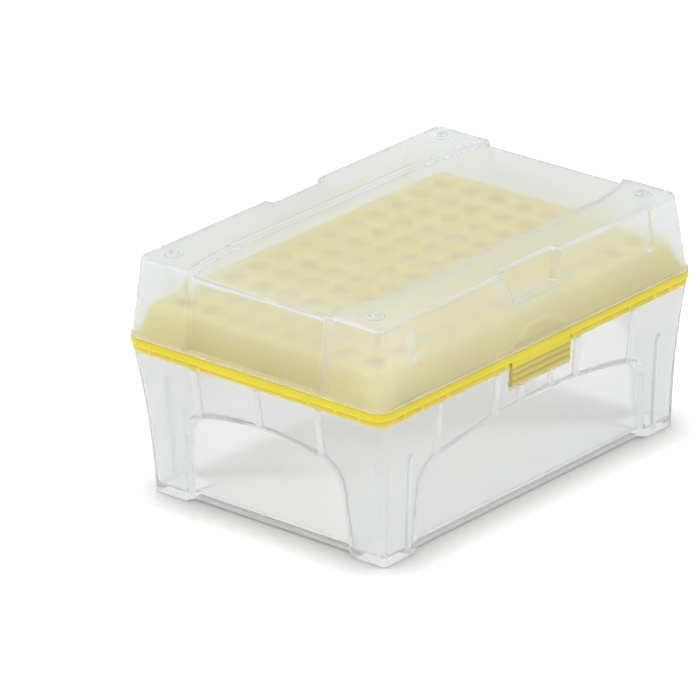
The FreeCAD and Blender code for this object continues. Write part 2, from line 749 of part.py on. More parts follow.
def up_slope(height):
    """A height as a distance up the long wall's slope."""
    return f"(({height} - {LID_FOOT})*sqrt(1 + {LONG_WALL_LEAN}*{LONG_WALL_LEAN}))"


def lid_grips(body):
    """A finger grip let into each long wall, and the thumb scoop over the latch."""
    behind = new_sketch(body, "grip_backing_outline", FROM_SIDE)
    foot = "(grip_foot - lid_wall)"
    top = "(lid_height - lid_wall/2)"
    inner = "(grip_depth + lid_wall)"
    middle = "(lid_wall/2)"
    corners = [
        ("-" + long_wall_at(foot, middle), foot),
        ("-" + long_wall_at(foot, inner), foot),
        ("-" + long_wall_at(top, inner), top),
        ("-" + long_wall_at(top, middle), top),
    ]
    add_loop(behind, corners)
    pad = extrude(body, "Pad", "grip_backing", behind, "2*(grip_half_top + lid_wall)", False, True)
    grip = on_long_wall(body, "grip_outline")
    low = up_slope("grip_foot")
    high = up_slope("(lid_height + 2*cut_past)")
    corners = [
        ("-grip_half_foot", low),
        ("grip_half_foot", low),
        ("grip_half_top", high),
        ("-grip_half_top", high),
    ]
    add_loop(grip, corners)
    pocket = extrude(body, "Pocket", "grip", grip, "grip_depth")
    mirror(body, "other_grip", [pad, pocket], FROM_FRONT)
    scoop = on_long_wall(body, "scoop_outline")
    height = up_slope("scoop_foot")
    add_loop(scoop, [("-scoop_half", height), ("scoop_half", height)], {1: "scoop_radius"})
    extrude(body, "Pocket", "thumb_scoop", scoop, "scoop_depth")


def lid_nubs(body):
    """Four dimpled stacking nubs on the shoulders."""
    for name, kind, height, radius, length in (
        ("nub", "Pad", "lid_height", "nub_radius", "nub_height"),
        ("dimple", "Pocket", "lid_height + nub_height", "dimple_radius", "nub_height"),
    ):
        sketch = new_sketch(body, f"{name}_outlines", FROM_ABOVE, height)
        for x_sign in ("-", ""):
            for y_sign in ("-", ""):
                add_circle(sketch, x_sign + "nub_along", y_sign + "nub_across", radius)
        extrude(body, kind, f"{name}s", sketch, length)


def lid_ribs(body):
    """Upright ribs inside the long walls."""
    sketch = new_sketch(body, "lid_rib_outline", FROM_SIDE, "lid_rib_place - lid_rib_width/2")
    top = "(lid_height - lid_wall/2)"
    inner = "(lid_wall + lid_rib_depth)"
    middle = "(lid_wall/2)"
    corners = [
        ("-" + long_wall_at("lid_rib_foot", middle), "lid_rib_foot"),
        ("-" + long_wall_at("lid_rib_foot", inner), "lid_rib_foot"),
        ("-" + long_wall_at(top, inner), top),
        ("-" + long_wall_at(top, middle), top),
    ]
    add_loop(sketch, corners)
    far = new_sketch(body, "far_lid_rib_outline", FROM_SIDE, "-(lid_rib_place + lid_rib_width/2)")
    add_loop(far, corners)
    ribs = [
        extrude(body, "Pad", "near_lid_rib", sketch, "lid_rib_width"),
        extrude(body, "Pad", "far_lid_rib", far, "lid_rib_width"),
    ]
    mirror(body, "back_lid_ribs", ribs, FROM_FRONT)


def hinge_lugs(body):
    """The lid's two lugs with the stub pins that turn in the base's ears."""
    sketch = new_sketch(body, "lug_outline", FROM_SIDE, "hinge_place - lug_width/2")
    under = f"({LID_FOOT} + lug_lift)"
    barrel = "lug_radius"
    over_axis = f"({under} - hinge_axis_height)"
    root = f"(hinge_back - sqrt(lug_radius*lug_radius - {over_axis}*{over_axis}))"
    corners = [
        ("(lid_foot_width/2 - lid_wall/2)", under),
        (root, under),
        ("(hinge_back - lug_radius)", "hinge_axis_height"),
        ("hinge_back", "(hinge_axis_height - lug_radius)"),
        ("(hinge_back + lug_radius)", "hinge_axis_height"),
        ("hinge_back", "(hinge_axis_height + lug_radius)"),
        (long_wall_at("lug_brace", "lid_wall/2"), "lug_brace"),
    ]
    add_loop(sketch, corners, {1: barrel, 2: barrel, 3: barrel, 4: barrel})
    lug = extrude(body, "Pad", "lug", sketch, "lug_width")
    pin_outline = new_sketch(body, "pin_outline", FROM_SIDE, "hinge_place")
    add_circle(pin_outline, "hinge_back", "hinge_axis_height", "pin_radius")
    pin_length = "lug_width + 2*(lug_gap + ear_thickness)"
    pins = extrude(body, "Pad", "stub_pins", pin_outline, pin_length, False, True)
    mirror(body, "other_lug", [lug, pins], FROM_SIDE)


def make_lid():
    """The frosted lid: cover, window, end flats, grips, scoop, nubs, ribs and hinge lugs."""
    body = new_body("lid")
    lid_shell(body)
    lid_window(body)
    lid_grips(body)
    lid_nubs(body)
    lid_ribs(body)
    hinge_lugs(body)
    return body


bodies = [make_base(), make_tray(), make_lid()]
doc.recompute()

for thing in doc.Objects:
    if "Invalid" in thing.State or "Error" in thing.State:
        raise RuntimeError(f"{thing.Name} is in error")
for body in bodies:
    if body.Shape.isNull() or not body.Shape.isValid():
        raise RuntimeError(f"{body.Label} has no valid shape")

os.makedirs("parts", exist_ok=True)
for body in bodies:
    body.Shape.exportStep(f"parts/{body.Label}.step")
    box = body.Shape.BoundBox
    print(f"{body.Label}: {body.Shape.Volume:.0f} mm3, {len(body.Shape.Solids)} solid", box)
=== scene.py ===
"""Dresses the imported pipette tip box: clear base, yellow tray with 96 tip holes, frosted lid.

Sizes in the classes are millimetres in the box's own frame (X along the long side, the latch
faces -Y, the feet stand on Z = 0). Meshes are written in metres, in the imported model's frame.
"""

import logging
import math
from collections.abc import Callable, Iterable, Mapping, Sequence
from dataclasses import astuple, dataclass, replace
from enum import Enum, IntEnum
from functools import cache
from itertools import product
from typing import Protocol

import bpy
import numpy as np
from bpy.types import Material, Node, NodeSocket, NodeTree, Object
from mathutils import Matrix, Vector


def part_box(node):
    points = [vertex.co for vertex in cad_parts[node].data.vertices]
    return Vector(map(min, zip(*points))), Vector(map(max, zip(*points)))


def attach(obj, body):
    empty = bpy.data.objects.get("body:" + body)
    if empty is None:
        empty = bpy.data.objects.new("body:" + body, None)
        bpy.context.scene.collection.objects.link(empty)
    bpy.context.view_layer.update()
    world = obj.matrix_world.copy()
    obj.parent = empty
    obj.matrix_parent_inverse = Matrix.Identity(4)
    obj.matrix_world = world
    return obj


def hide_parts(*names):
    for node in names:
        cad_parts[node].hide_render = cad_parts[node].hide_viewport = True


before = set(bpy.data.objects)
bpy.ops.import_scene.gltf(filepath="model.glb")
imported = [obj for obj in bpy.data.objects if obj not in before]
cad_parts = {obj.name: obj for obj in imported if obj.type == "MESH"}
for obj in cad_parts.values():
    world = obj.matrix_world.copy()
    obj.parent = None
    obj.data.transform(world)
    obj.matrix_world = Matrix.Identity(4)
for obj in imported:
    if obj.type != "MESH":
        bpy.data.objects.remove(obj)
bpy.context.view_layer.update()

LOG = logging.getLogger("tip_box")
MILLIMETRE = 0.001
SHARP_ANGLE = math.radians(38)
RIB_SOFTNESS = 0.25
RIB_FLANK = 0.4
PLAY = 0.01
SOFT_STEP = 0.7
WALL_LINES = (50.6, 34.0)
LONG_WIDTH = 3.2
FINE_GRAIN = 2500.0
PIN_STEPS = 24
LYING = Matrix.Rotation(math.pi / 2, 4, "Y")

Array = np.ndarray
Shape = Callable[[Array], Array]
Pair = tuple[float, float]
Triple = tuple[float, float, float]


class Finish(Protocol):
    """Anything that makes a material."""

    def make(self) -> Material:
        """Builds the material."""


# ---------------------------------------------------------------- small maths


def ease(share: Array) -> Array:
    """A smooth step: 0 below 0, 1 above 1, level at both ends."""
    held = np.clip(share, 0.0, 1.0)
    return held * held * (3 - 2 * held)


def inside(distance: Array, width: float) -> Array:
    """A soft mask of a signed distance.

    Args:
        distance: distance inside an edge, negative outside.
        width: width over which the mask turns on, centred on the edge.

    Returns:
        The mask, from 0 to 1.
    """
    return ease(distance / width + 0.5)


def mirrored(lines: Iterable[float]) -> tuple[float, ...]:
    """The lines of one half and their mirror images, in order."""
    half = sorted({round(abs(line), 4) for line in lines})
    return tuple([-line for line in reversed(half) if line] + half)


def spaced(start: float, end: float, step: float) -> list[float]:
    """Evenly spaced values from start to end, no further apart than step."""
    count = max(1, math.ceil((end - start) / step - 1e-6))
    return [start + (end - start) * number / count for number in range(count + 1)]


def around(place: float, half: float) -> list[float]:
    """Grid lines that carry both flanks of a rib."""
    flanks = [half + RIB_SOFTNESS * share for share in (-1, -1 / 3, 1 / 3, 1)]
    return [place] + [place + side * flank for side in (-1, 1) for flank in flanks]


def arc(start: Pair, end: Pair, radius: float, steps: int) -> list[Pair]:
    """Points of the anticlockwise arc between two points, both ends included.

    Args:
        start: first point.
        end: last point.
        radius: radius of the arc, which turns less than half a circle.
        steps: number of chords.

    Returns:
        The points in order.
    """
    first, last = Vector(start), Vector(end)
    half = (last - first) / 2
    rise = math.sqrt(radius**2 - half.length_squared)
    centre = first + half + Vector((-half.y, half.x)).normalized() * rise
    begin = math.atan2(first.y - centre.y, first.x - centre.x)
    turn = 2 * math.asin(half.length / radius)
    angles = [begin + turn * number / steps for number in range(steps + 1)]
    return [(centre.x + radius * math.cos(a), centre.y + radius * math.sin(a)) for a in angles]


def signed_distance(across: Array, up: Array, outline: Sequence[Pair]) -> Array:
    """Distance of points from a closed outline.

    Args:
        across: first coordinates of the points.
        up: second coordinates.
        outline: corners of the closed outline.

    Returns:
        The distances, positive inside and negative outside.
    """
    points = np.stack([across, up], axis=1)
    corners = np.array(outline, float)
    nearest = np.full(len(points), np.inf)
    within = np.zeros(len(points), bool)
    for first, last in zip(corners, np.roll(corners, -1, axis=0)):
        edge = last - first
        share = np.clip(((points - first) @ edge) / max(edge @ edge, 1e-12), 0, 1)
        nearest = np.minimum(nearest, np.linalg.norm(points - first - share[:, None] * edge, axis=1))
        crosses = (first[1] > points[:, 1]) != (last[1] > points[:, 1])
        if edge[1]:
            meets = first[0] + (points[:, 1] - first[1]) / edge[1] * edge[0]
            within ^= crosses & (points[:, 0] < meets)
    return np.where(within, nearest, -nearest)


# ---------------------------------------------------------------- moulded skins


@dataclass(frozen=True)
class Level:
    """One rounded rectangle of a wall: half length, half width, corner radius and height."""

    along: float
    across: float
    corner: float
    height: float

    def inset(self, amount: float, rise: float = 0.0) -> "Level":
        """The same rectangle drawn in by an amount and raised."""
        corner = max(self.corner - amount, 0.3)
        return Level(self.along - amount, self.across - amount, corner, self.height + rise)

    def at_height(self, height: float) -> "Level":
        """The same rectangle at another height."""
        return replace(self, height=height)

    def towards(self, other: "Level", height: float) -> "Level":
        """The rectangle at a height on the straight wall from this one to another."""
        share = (height - self.height) / (other.height - self.height)
        sizes = (self.along, other.along), (self.across, other.across), (self.corner, other.corner)
        return Level(*(own + (its - own) * share for own, its in sizes), height)


@dataclass(frozen=True)
class Layout:
    """Where the mesh lines of a rounded box run.

    Attributes:
        x_lines: places of the lines across the long walls.
        y_lines: places of the lines across the end walls.
        reach_steps: chords between the last line and the corner.
        arc_steps: chords of a corner, an even number.
    """

    x_lines: tuple[float, ...]
    y_lines: tuple[float, ...]
    reach_steps: int = 2
    arc_steps: int = 12

    @property
    def strip_steps(self) -> int:
        """Chords between the middle block of a cap and the wall."""
        return self.reach_steps + self.arc_steps // 2

    def quarter(self, level: Level) -> Array:
        """The corner at +X +Y: from the last y line round to the last x line."""
        flat_x, flat_y = level.along - level.corner, level.across - level.corner
        rise = np.linspace(self.y_lines[-1], flat_y, self.reach_steps + 1)
        lower = np.stack([np.full_like(rise, level.along), rise], axis=1)
        angles = np.linspace(0, math.pi / 2, self.arc_steps + 1)
        bend = np.stack([np.cos(angles), np.sin(angles)], axis=1) * level.corner + (flat_x, flat_y)
        run = np.linspace(flat_x, self.x_lines[-1], self.reach_steps + 1)
        upper = np.stack([run, np.full_like(run, level.across)], axis=1)
        return np.concatenate([lower, bend[1:], upper[1:]])

    def ring(self, level: Level) -> Array:
        """The closed ring of a level, anticlockwise from the last y line at +X."""
        corner = self.quarter(level)
        x_run = np.array(self.x_lines[::-1][1:-1])
        y_run = np.array(self.y_lines[::-1][1:-1])
        top = np.stack([x_run, np.full_like(x_run, level.across)], axis=1)
        left = np.stack([np.full_like(y_run, -level.along), y_run], axis=1)
        half = [corner, top, (corner * (-1, 1))[::-1], left]
        first = np.concatenate(half)
        return np.concatenate([first, -first])

    @property
    def ring_size(self) -> int:
        """Points of one ring."""
        return 2 * (4 * self.strip_steps + len(self.x_lines) + len(self.y_lines) - 2)


class Skin:
    """A mesh grown from stacked rings of one layout and the caps that close them."""

    def __init__(self, layout: Layout) -> None:
        """Starts an empty skin."""
        self.layout = layout
        self.points: list[Array] = []
        self.faces: list[tuple[int, ...]] = []
        self.count = 0

    def add_points(self, points: Array) -> int:
        """Adds points and returns the number of the first."""
        first = self.count
        self.points.append(points)
        self.count += len(points)
        return first

    def add_ring(self, level: Level, shape: Shape) -> int:
        """Adds one ring after shaping it and returns the number of its first point."""
        flat = self.layout.ring(level)
        solid = np.concatenate([flat, np.full((len(flat), 1), level.height)], axis=1)
        return self.add_points(shape(solid))

    def join(self, lower: int, upper: int, skip: Callable[[int], bool] | None = None) -> None:
        """Joins two rings, facing outward when upper is above lower.

        Args:
            lower: first point of the lower ring.
            upper: first point of the upper ring.
            skip: tells which segments stay open.
        """
        size = self.layout.ring_size
        for number in range(size):
            if skip and skip(number):
                continue
            after = (number + 1) % size
            self.faces.append((lower + number, lower + after, upper + after, upper + number))

    def stack(self, levels: Sequence[Level], shape: Shape, start: int | None = None) -> list[int]:
        """Adds rings in order, each joined to the one before.

        Args:
            levels: the rings to add.
            shape: moves the ring's points to the real surface.
            start: the ring that the first one is joined to, if any.

        Returns:
            The first point of each new ring.
        """
        rings = []
        for level in levels:
            ring = self.add_ring(level, shape)
            if start is not None:
                self.join(start, ring)
            rings.append(ring)
            start = ring
        return rings

    def cap(self, ring: int, level: Level, shape: Shape, downward: bool = False) -> None:
        """Closes a ring with an all-quad cap.

        Args:
            ring: first point of the ring to close.
            level: the ring's own level.
            shape: moves the cap's points to the real surface.
            downward: whether the cap faces down.
        """
        layout = self.layout
        steps = layout.strip_steps
        columns, rows = len(layout.x_lines) + 2 * steps, len(layout.y_lines) + 2 * steps
        grid = np.full((columns, rows), -1, int)
        places = np.zeros((columns, rows, 2))
        walk = tuple(np.array(self._boundary(columns, rows, steps)).T)
        grid[walk] = ring + np.arange(len(walk[0]))
        places[walk] = layout.ring(level)
        self._fill_places(places, steps)
        free = grid < 0
        inner = np.concatenate([places[free], np.full((free.sum(), 1), level.height)], axis=1)
        grid[free] = self.add_points(shape(inner)) + np.arange(len(inner))
        for c, r in product(range(columns - 1), range(rows - 1)):
            face = (grid[c, r], grid[c + 1, r], grid[c + 1, r + 1], grid[c, r + 1])
            self.faces.append(face[::-1] if downward else face)

    def _boundary(self, columns: int, rows: int, steps: int) -> list[tuple[int, int]]:
        """Grid places of the ring's points, in the ring's own order."""
        right = [(columns - 1, row) for row in range(rows - 1 - steps, rows - 1)]
        top = [(column, rows - 1) for column in range(columns - 1, 0, -1)]
        left = [(0, row) for row in range(rows - 1, 0, -1)]
        bottom = [(column, 0) for column in range(columns - 1)]
        rest = [(columns - 1, row) for row in range(rows - 1 - steps)]
        return right + top + left + bottom + rest

    def _fill_places(self, places: Array, steps: int) -> None:
        """Lays the cap's inner points between the middle block and the boundary."""
        middle = slice(steps, -steps)
        places[middle, middle, 0] = np.array(self.layout.x_lines)[:, None]
        places[middle, middle, 1] = self.layout.y_lines
        share = np.linspace(0, 1, steps + 1)[:, None]
        for grid, way in product((places, places.swapaxes(0, 1)), (1, -1)):
            strip = grid[middle, ::way][:, : steps + 1]
            strip[:, 1:-1] = (strip[:, :1] + (strip[:, -1:] - strip[:, :1]) * share)[:, 1:-1]
        u, v = share[:, None], share[None]
        for x_way, y_way in product((1, -1), (1, -1)):
            patch = places[::x_way, ::y_way][: steps + 1, : steps + 1]
            first, last = patch[:1], patch[-1:]
            sides = (1 - u) * first + u * last + (1 - v) * patch[:, :1] + v * patch[:, -1:]
            corners = (1 - v) * ((1 - u) * first[:, :1] + u * last[:, :1])
            corners = corners + v * ((1 - u) * first[:, -1:] + u * last[:, -1:])
            patch[1:-1, 1:-1] = (sides - corners)[1:-1, 1:-1]

    def close(
        self, inner_levels: Sequence[Level], inner: Shape, outer_levels: Sequence[Level], outer: Shape
    ) -> None:
        """Builds a whole cover from both its faces, with a cap on each.

        Args:
            inner_levels: rings of the inner face, from the ceiling down.
            inner: moves points to the inner face.
            outer_levels: rings of the outer face, from the foot up.
            outer: moves points to the outer face.
        """
        rings = self.stack(inner_levels, inner)
        outer_rings = self.stack(outer_levels, outer, rings[-1])
        self.cap(rings[0], inner_levels[0], inner, downward=True)
        self.cap(outer_rings[-1], outer_levels[-1], outer)

    def piece(self, name: str) -> Object:
        """The skin as an object."""
        return new_object(name, np.concatenate(self.points), self.faces)

    def disc(self, ring: int) -> None:
        """Closes a level ring with one flat face that looks up."""
        self.faces.append(tuple(ring + number for number in range(self.layout.ring_size)))


def bend_steps(steps: int = 3) -> list[Pair]:
    """Cosine and sine at even steps of a quarter turn."""
    angles = [math.pi / 2 * number / steps for number in range(steps + 1)]
    return [(math.cos(angle), math.sin(angle)) for angle in angles]


def rounded_foot(level: Level, radius: float) -> list[Level]:
    """Levels of a rounded lower edge, from its flat up to the wall."""
    return [level.inset(radius * (1 - sine), radius * (1 - cosine)) for cosine, sine in bend_steps()]


def rounded_top(level: Level, radius: float, steps: int = 3) -> list[Level]:
    """Levels of a rounded upper edge, from the wall in to its flat."""
    return [level.inset(radius * (1 - cosine), radius * sine) for cosine, sine in bend_steps(steps)]


def flared_top(level: Level, radius: float) -> list[Level]:
    """Levels of the rounded inner edge of an open rim, from the wall out to its flat."""
    return [level.inset(-radius * (1 - cosine), radius * sine) for cosine, sine in bend_steps()]


@cache
def box_shift() -> float:
    """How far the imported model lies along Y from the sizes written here."""
    low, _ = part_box("tip_tray")
    return low.y / MILLIMETRE + TipTray().flange.across


def to_frame(points: Array) -> Array:
    """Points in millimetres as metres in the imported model's frame."""
    return (points + np.array([0, box_shift(), 0])) * MILLIMETRE


def new_object(name: str, points: Array, faces: Sequence[Sequence[int]]) -> Object:
    """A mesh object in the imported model's frame.

    Args:
        name: the object's name.
        points: its points in millimetres.
        faces: its faces, as numbers of points.

    Returns:
        The new object, linked to the scene.
    """
    mesh = bpy.data.meshes.new(name)
    plain_faces = [list(map(int, face)) for face in faces]
    mesh.from_pydata(to_frame(np.asarray(points, float)).tolist(), [], plain_faces)
    mesh.validate()
    piece = bpy.data.objects.new(name, mesh)
    bpy.context.scene.collection.objects.link(piece)
    return piece


def face_centres(piece: Object) -> Array:
    """The centres of a piece's faces in the box's own millimetres."""
    return np.array([face.center for face in piece.data.polygons]) / MILLIMETRE - (0, box_shift(), 0)


def facing(points: Array, end_width: float) -> tuple[Array, Array]:
    """How much points belong to the end walls and to the long walls.

    Args:
        points: the points.
        end_width: width over which the end walls take over from the corners.

    Returns:
        The two shares, from 0 to 1.
    """
    beyond = np.abs(points[:, :2]) - WALL_LINES
    return ease(beyond[:, 0] / end_width), ease(beyond[:, 1] / LONG_WIDTH)


def drawn_in(points: Array, end_depth: Array, long_depth: Array, rise: Array | float = 0.0) -> Array:
    """Points moved in from the end walls and from the long walls, and raised."""
    along, across, up = points.T
    moved = [along - np.sign(along) * end_depth, across - np.sign(across) * long_depth, up + rise]
    return np.stack(moved, axis=1)


def on_step(mask: Array) -> Array:
    """Where a soft mask is part of the way up."""
    return (mask > 0.02) & (mask < 0.98)


class Joining(Enum):
    """How a moulded detail meets its piece."""

    ADDED = "UNION"
    CUT = "DIFFERENCE"


def combine(piece: Object, tool: Object, way: Joining) -> None:
    """Adds or cuts a closed tool mesh, which is then removed."""
    modifier = piece.modifiers.new("moulding", "BOOLEAN")
    modifier.object = tool
    modifier.operation = way.value
    modifier.solver = "MANIFOLD"
    bpy.context.view_layer.update()
    graph = bpy.context.evaluated_depsgraph_get()
    mesh = bpy.data.meshes.new_from_object(piece.evaluated_get(graph))
    piece.modifiers.clear()
    piece.data = mesh
    bpy.data.objects.remove(tool)


def prism(name: str, outline: Sequence[Pair], near: float, far: float) -> Object:
    """A straight bar along X.

    Args:
        name: name of the object.
        outline: its section as (y, z), anticlockwise seen from +X.
        near: its lower end in X.
        far: its upper end in X.

    Returns:
        The closed bar.
    """
    size = len(outline)
    points = [(place, y, z) for place in (near, far) for y, z in outline]
    faces = [tuple(reversed(range(size))), tuple(range(size, 2 * size))]
    for number in range(size):
        after = (number + 1) % size
        faces.append((number, after, size + after, size + number))
    return new_object(name, np.array(points), faces)


def turned(
    name: str,
    profile: Sequence[Pair],
    centres: Iterable[Triple],
    turn: Matrix | None = None,
    steps: int = 32,
) -> Object:
    """Copies of one turned solid, joined as one mesh.

    Args:
        name: name of the object.
        profile: (radius, height) pairs from the lower middle up to the upper middle.
        centres: where each copy's origin goes.
        turn: rotation of the axis, which is Z without it.
        steps: chords round the axis.

    Returns:
        The closed solids as one object.
    """
    rings = [pair for pair in profile if pair[0] > 0]
    angles = np.linspace(0, 2 * math.pi, steps, endpoint=False)
    one = [(r * math.cos(a), r * math.sin(a), h) for r, h in rings for a in angles]
    last = (len(rings) - 1) * steps
    ends_closed = profile[0][0] == 0 and profile[-1][0] == 0
    pairs = [(low, low + steps) for low in range(0, last, steps)] + ([] if ends_closed else [(last, 0)])
    faces = [
        (low + number, low + (number + 1) % steps, high + (number + 1) % steps, high + number)
        for low, high in pairs
        for number in range(steps)
    ]
    if ends_closed:
        faces += [tuple(reversed(range(steps))), tuple(range(last, last + steps))]
    solid = np.array(one)
    if turn is not None:
        solid = solid @ np.array(turn.to_3x3()).T
    points, joined = [], []
    for centre in centres:
        joined += [tuple(len(points) * len(solid) + index for index in face) for face in faces]
        points.append(solid + np.array(centre))
    return new_object(name, np.concatenate(points), joined)


# ---------------------------------------------------------------- clear base


@dataclass(frozen=True)
class Panel:
    """An arched panel let into a wall, seen from outside and symmetric about its middle."""

    foot: float
    shoulder: float
    side: float
    crown: float
    spring: float
    arch: float
    corner: float = 8.0

    def outline(self, grow: float) -> list[Pair]:
        """The closed outline, grown outward by an amount."""
        foot, shoulder, side, crown, spring, arch, corner = (size + grow for size in astuple(self))
        right = arc((shoulder, side), (crown, spring), corner, 8)
        over = arc((crown, spring), (-crown, spring), arch, 40)
        left = arc((-crown, spring), (-shoulder, side), corner, 8)
        return [(-foot, -4.0), (foot, -4.0)] + right + over[1:-1] + left


class BaseArea(IntEnum):
    """Areas of the base with a finish of their own."""

    WALLS = 0
    RIM = 1
    EDGES = 2
    PANELS = 3


@dataclass
class BaseBox:
    """The clear tub: arched panels, upright ribs, feet, notch for the latch tab and hinge ears."""

    foot: Level = Level(56.6, 38.7, 1.5, 0.0)
    rim: Level = Level(60.5, 42.4, 3.7, 40.9)
    wall: float = 1.3
    floor: float = 2.1
    end_width: float = 4.4
    foot_lift: float = 0.5
    lift_height: float = 6.0
    foot_along: float = 45.5
    foot_across: float = 27.6
    foot_step: float = 0.9
    recess: float = 1.6
    step_width: float = 1.0
    long_panel: Panel = Panel(44.8, 43.0, 16.0, 37.8, 23.8, 172.0)
    end_panel: Panel = Panel(27.2, 25.6, 16.5, 20.3, 25.3, 87.0)
    long_ribs: tuple[float, ...] = (6.0, 15.8, 37.8)
    end_ribs: tuple[float, ...] = (0.0, 20.5)
    rib_half: float = 0.8
    rib_depth: float = 0.9
    rib_foot: float = 24.5
    rib_top: float = 38.8
    bow: float = 0.6
    back_grow: float = 0.7
    leg_place: float = 48.1
    leg_half: float = 1.05
    leg_foot: float = 2.8
    leg_top: float = 27.5
    leg_depth: float = 0.6
    leg_across: float = 38.0
    notch_half: float = 12.0
    notch_across: float = 40.0
    notch_foot: float = 33.0
    edge: float = 0.35
    foot_edge: float = 0.6
    floor_edge: float = 0.9
    ear_foot: float = 31.5
    ear_shoulder: float = 40.3
    end_walls: Pair = (52.0, 30.0)
    long_walls: Pair = (35.0, 50.0)
    bottom_edge: Pair = (54.5, 36.6)

    @property
    def layout(self) -> Layout:
        """Mesh lines that carry the ribs, the notch and the panels' edges."""
        x_lines = spaced(0, 4.6, 1.6) + spaced(7.4, 11.5, 1.5) + [11.75, 12, 12.3]
        x_lines += spaced(17.2, 36.4, 2) + spaced(39, 46.2, 0.45) + spaced(46.5, 49.7, 0.27) + [50.2, 50.6]
        for place in self.long_ribs:
            x_lines += around(place, self.rib_half)
        y_lines = spaced(1.6, 19, 2) + spaced(21.9, 28.2, 0.45) + spaced(28.6, 34, 2)
        for place in self.end_ribs:
            y_lines += around(place, self.rib_half)
        return Layout(mirrored(x_lines), mirrored(y_lines))

    def _panels(self, points: Array, grow: float) -> tuple[Array, Array]:
        """Masks of the end and the long panels."""
        along, across, up = points.T
        end = inside(signed_distance(across, up, self.end_panel.outline(grow)), self.step_width)
        long = inside(signed_distance(along, up, self.long_panel.outline(grow)), self.step_width)
        return end, long

    def _bow(self, up: Array) -> Array:
        """How far the walls draw in between the floor and the rim."""
        share = np.clip(up / self.rim.height, 0, 1)
        return 4 * self.bow * share * (1 - share)

    def _ribs(self, place: Array, up: Array, centres: Sequence[float]) -> Array:
        """Mask of the upright ribs inside a wall."""
        mask = np.zeros_like(place)
        for centre in centres:
            mask = np.maximum(mask, inside(self.rib_half - np.abs(np.abs(place) - centre), RIB_FLANK))
        return mask * inside(up - self.rib_foot, 0.6) * inside(self.rib_top - up, SOFT_STEP)

    def outer(self, points: Array) -> Array:
        """The outer face: recessed panels, leg ribs and feet."""
        along, across, up = points.T
        on_end, on_long = facing(points, self.end_width)
        end, long = self._panels(points, 0.0)
        off_axis = np.abs(np.abs(along) - self.leg_place)
        past = np.maximum(np.maximum(self.leg_foot - up, up - self.leg_top), 0)
        reach = np.clip(1 - np.hypot(off_axis, past) / self.leg_half, 0, 1)
        leg = self.leg_depth * np.sqrt(1 - (1 - reach) ** 2) * (np.abs(across) > self.leg_across)
        feet = inside(np.abs(along) - self.foot_along, self.foot_step)
        feet = feet * inside(np.abs(across) - self.foot_across, self.foot_step)
        lift = self.foot_lift * (1 - feet) * np.clip(1 - up / self.lift_height, 0, 1)
        bow = self._bow(up)
        long_depth = bow + self.recess * long - leg
        return drawn_in(points, (bow + self.recess * end) * on_end, long_depth * on_long, lift)

    def inner(self, points: Array) -> Array:
        """The inner face: the panels' backs and the upright ribs."""
        along, across, up = points.T
        on_end, on_long = facing(points, self.end_width)
        end, long = self._panels(points, self.back_grow)
        end_depth = np.maximum(self.recess * end, self.rib_depth * self._ribs(across, up, self.end_ribs))
        long_depth = np.maximum(self.recess * long, self.rib_depth * self._ribs(along, up, self.long_ribs))
        bow = self._bow(up)
        return drawn_in(points, (end_depth + bow) * on_end, (long_depth + bow) * on_long)

    def skin(self) -> Skin:
        """The closed tub with its notch."""
        skin = Skin(self.layout)

        def at(height: float) -> Level:
            """The wall's rectangle at a height."""
            return self.foot.towards(self.rim, height)

        lower = rounded_foot(at(0.0), self.foot_edge)
        heights = [1.0, 1.4, 1.8, 2.2, 2.7, 3.3, 4.2, 5.8, 7.8, 9.8, 11.8, 13.8, 15.8, 17.1]
        heights += spaced(18, 31.6, 0.45) + [32.3]
        above = [self.notch_foot, 33.6, 35, 36.5, 37.6, 38.2, 38.5, 38.8, 39.4, 40.1]
        brim = at(self.rim.height - self.edge)
        outside = lower + [at(height) for height in heights + above] + rounded_top(brim, self.edge)
        notch = len(lower) + len(heights)
        outer_rings = [skin.add_ring(level, self.outer) for level in outside]
        inside_levels = [at(height).inset(self.wall) for height in above]
        inside_levels += flared_top(brim.inset(self.wall), self.edge)
        inner_high = [skin.add_ring(level, self.inner) for level in inside_levels]
        bends = rounded_foot(at(self.floor).inset(self.wall), self.floor_edge)[::-1]
        below = [at(height).inset(self.wall) for height in reversed(heights[3:])]
        below = [level for level in below if level.height > bends[0].height + 0.2] + bends
        inner_low = [skin.add_ring(level, self.inner) for level in below]
        self._join(skin, outer_rings, notch, inner_high, inner_low)
        skin.cap(outer_rings[0], outside[0], self.outer, downward=True)
        skin.disc(inner_low[-1])
        return skin

    def _join(self, skin: Skin, outside: list[int], notch: int, high: list[int], low: list[int]) -> None:
        """Joins the rings of both faces and leaves the notch open."""
        flat = skin.layout.ring(self.rim)
        in_reach = np.abs(flat[:, 0]) < self.notch_half + PLAY
        open_points = np.flatnonzero((flat[:, 1] < -self.notch_across) & in_reach)
        first, last = int(open_points.min()), int(open_points.max())

        def in_notch(number: int) -> bool:
            """Whether a segment of a ring is open."""
            return first <= number < last

        for number, (lower, upper) in enumerate(zip(outside, outside[1:])):
            skin.join(lower, upper, in_notch if number >= notch else None)
        skin.join(outside[-1], high[-1], in_notch)
        for lower, upper in zip(high, high[1:]):
            skin.join(upper, lower, in_notch)
        for upper, lower in zip([high[0]] + low, low):
            skin.join(upper, lower)
        columns = list(zip(outside[notch:], high))
        outer, inner = columns[0]
        for number in range(first, last):
            skin.faces.append((outer + number, outer + number + 1, inner + number + 1, inner + number))
        for (outer, inner), (outer_up, inner_up) in zip(columns, columns[1:]):
            skin.faces.append((outer + first, inner + first, inner_up + first, outer_up + first))
            skin.faces.append((inner + last, outer + last, outer_up + last, inner_up + last))

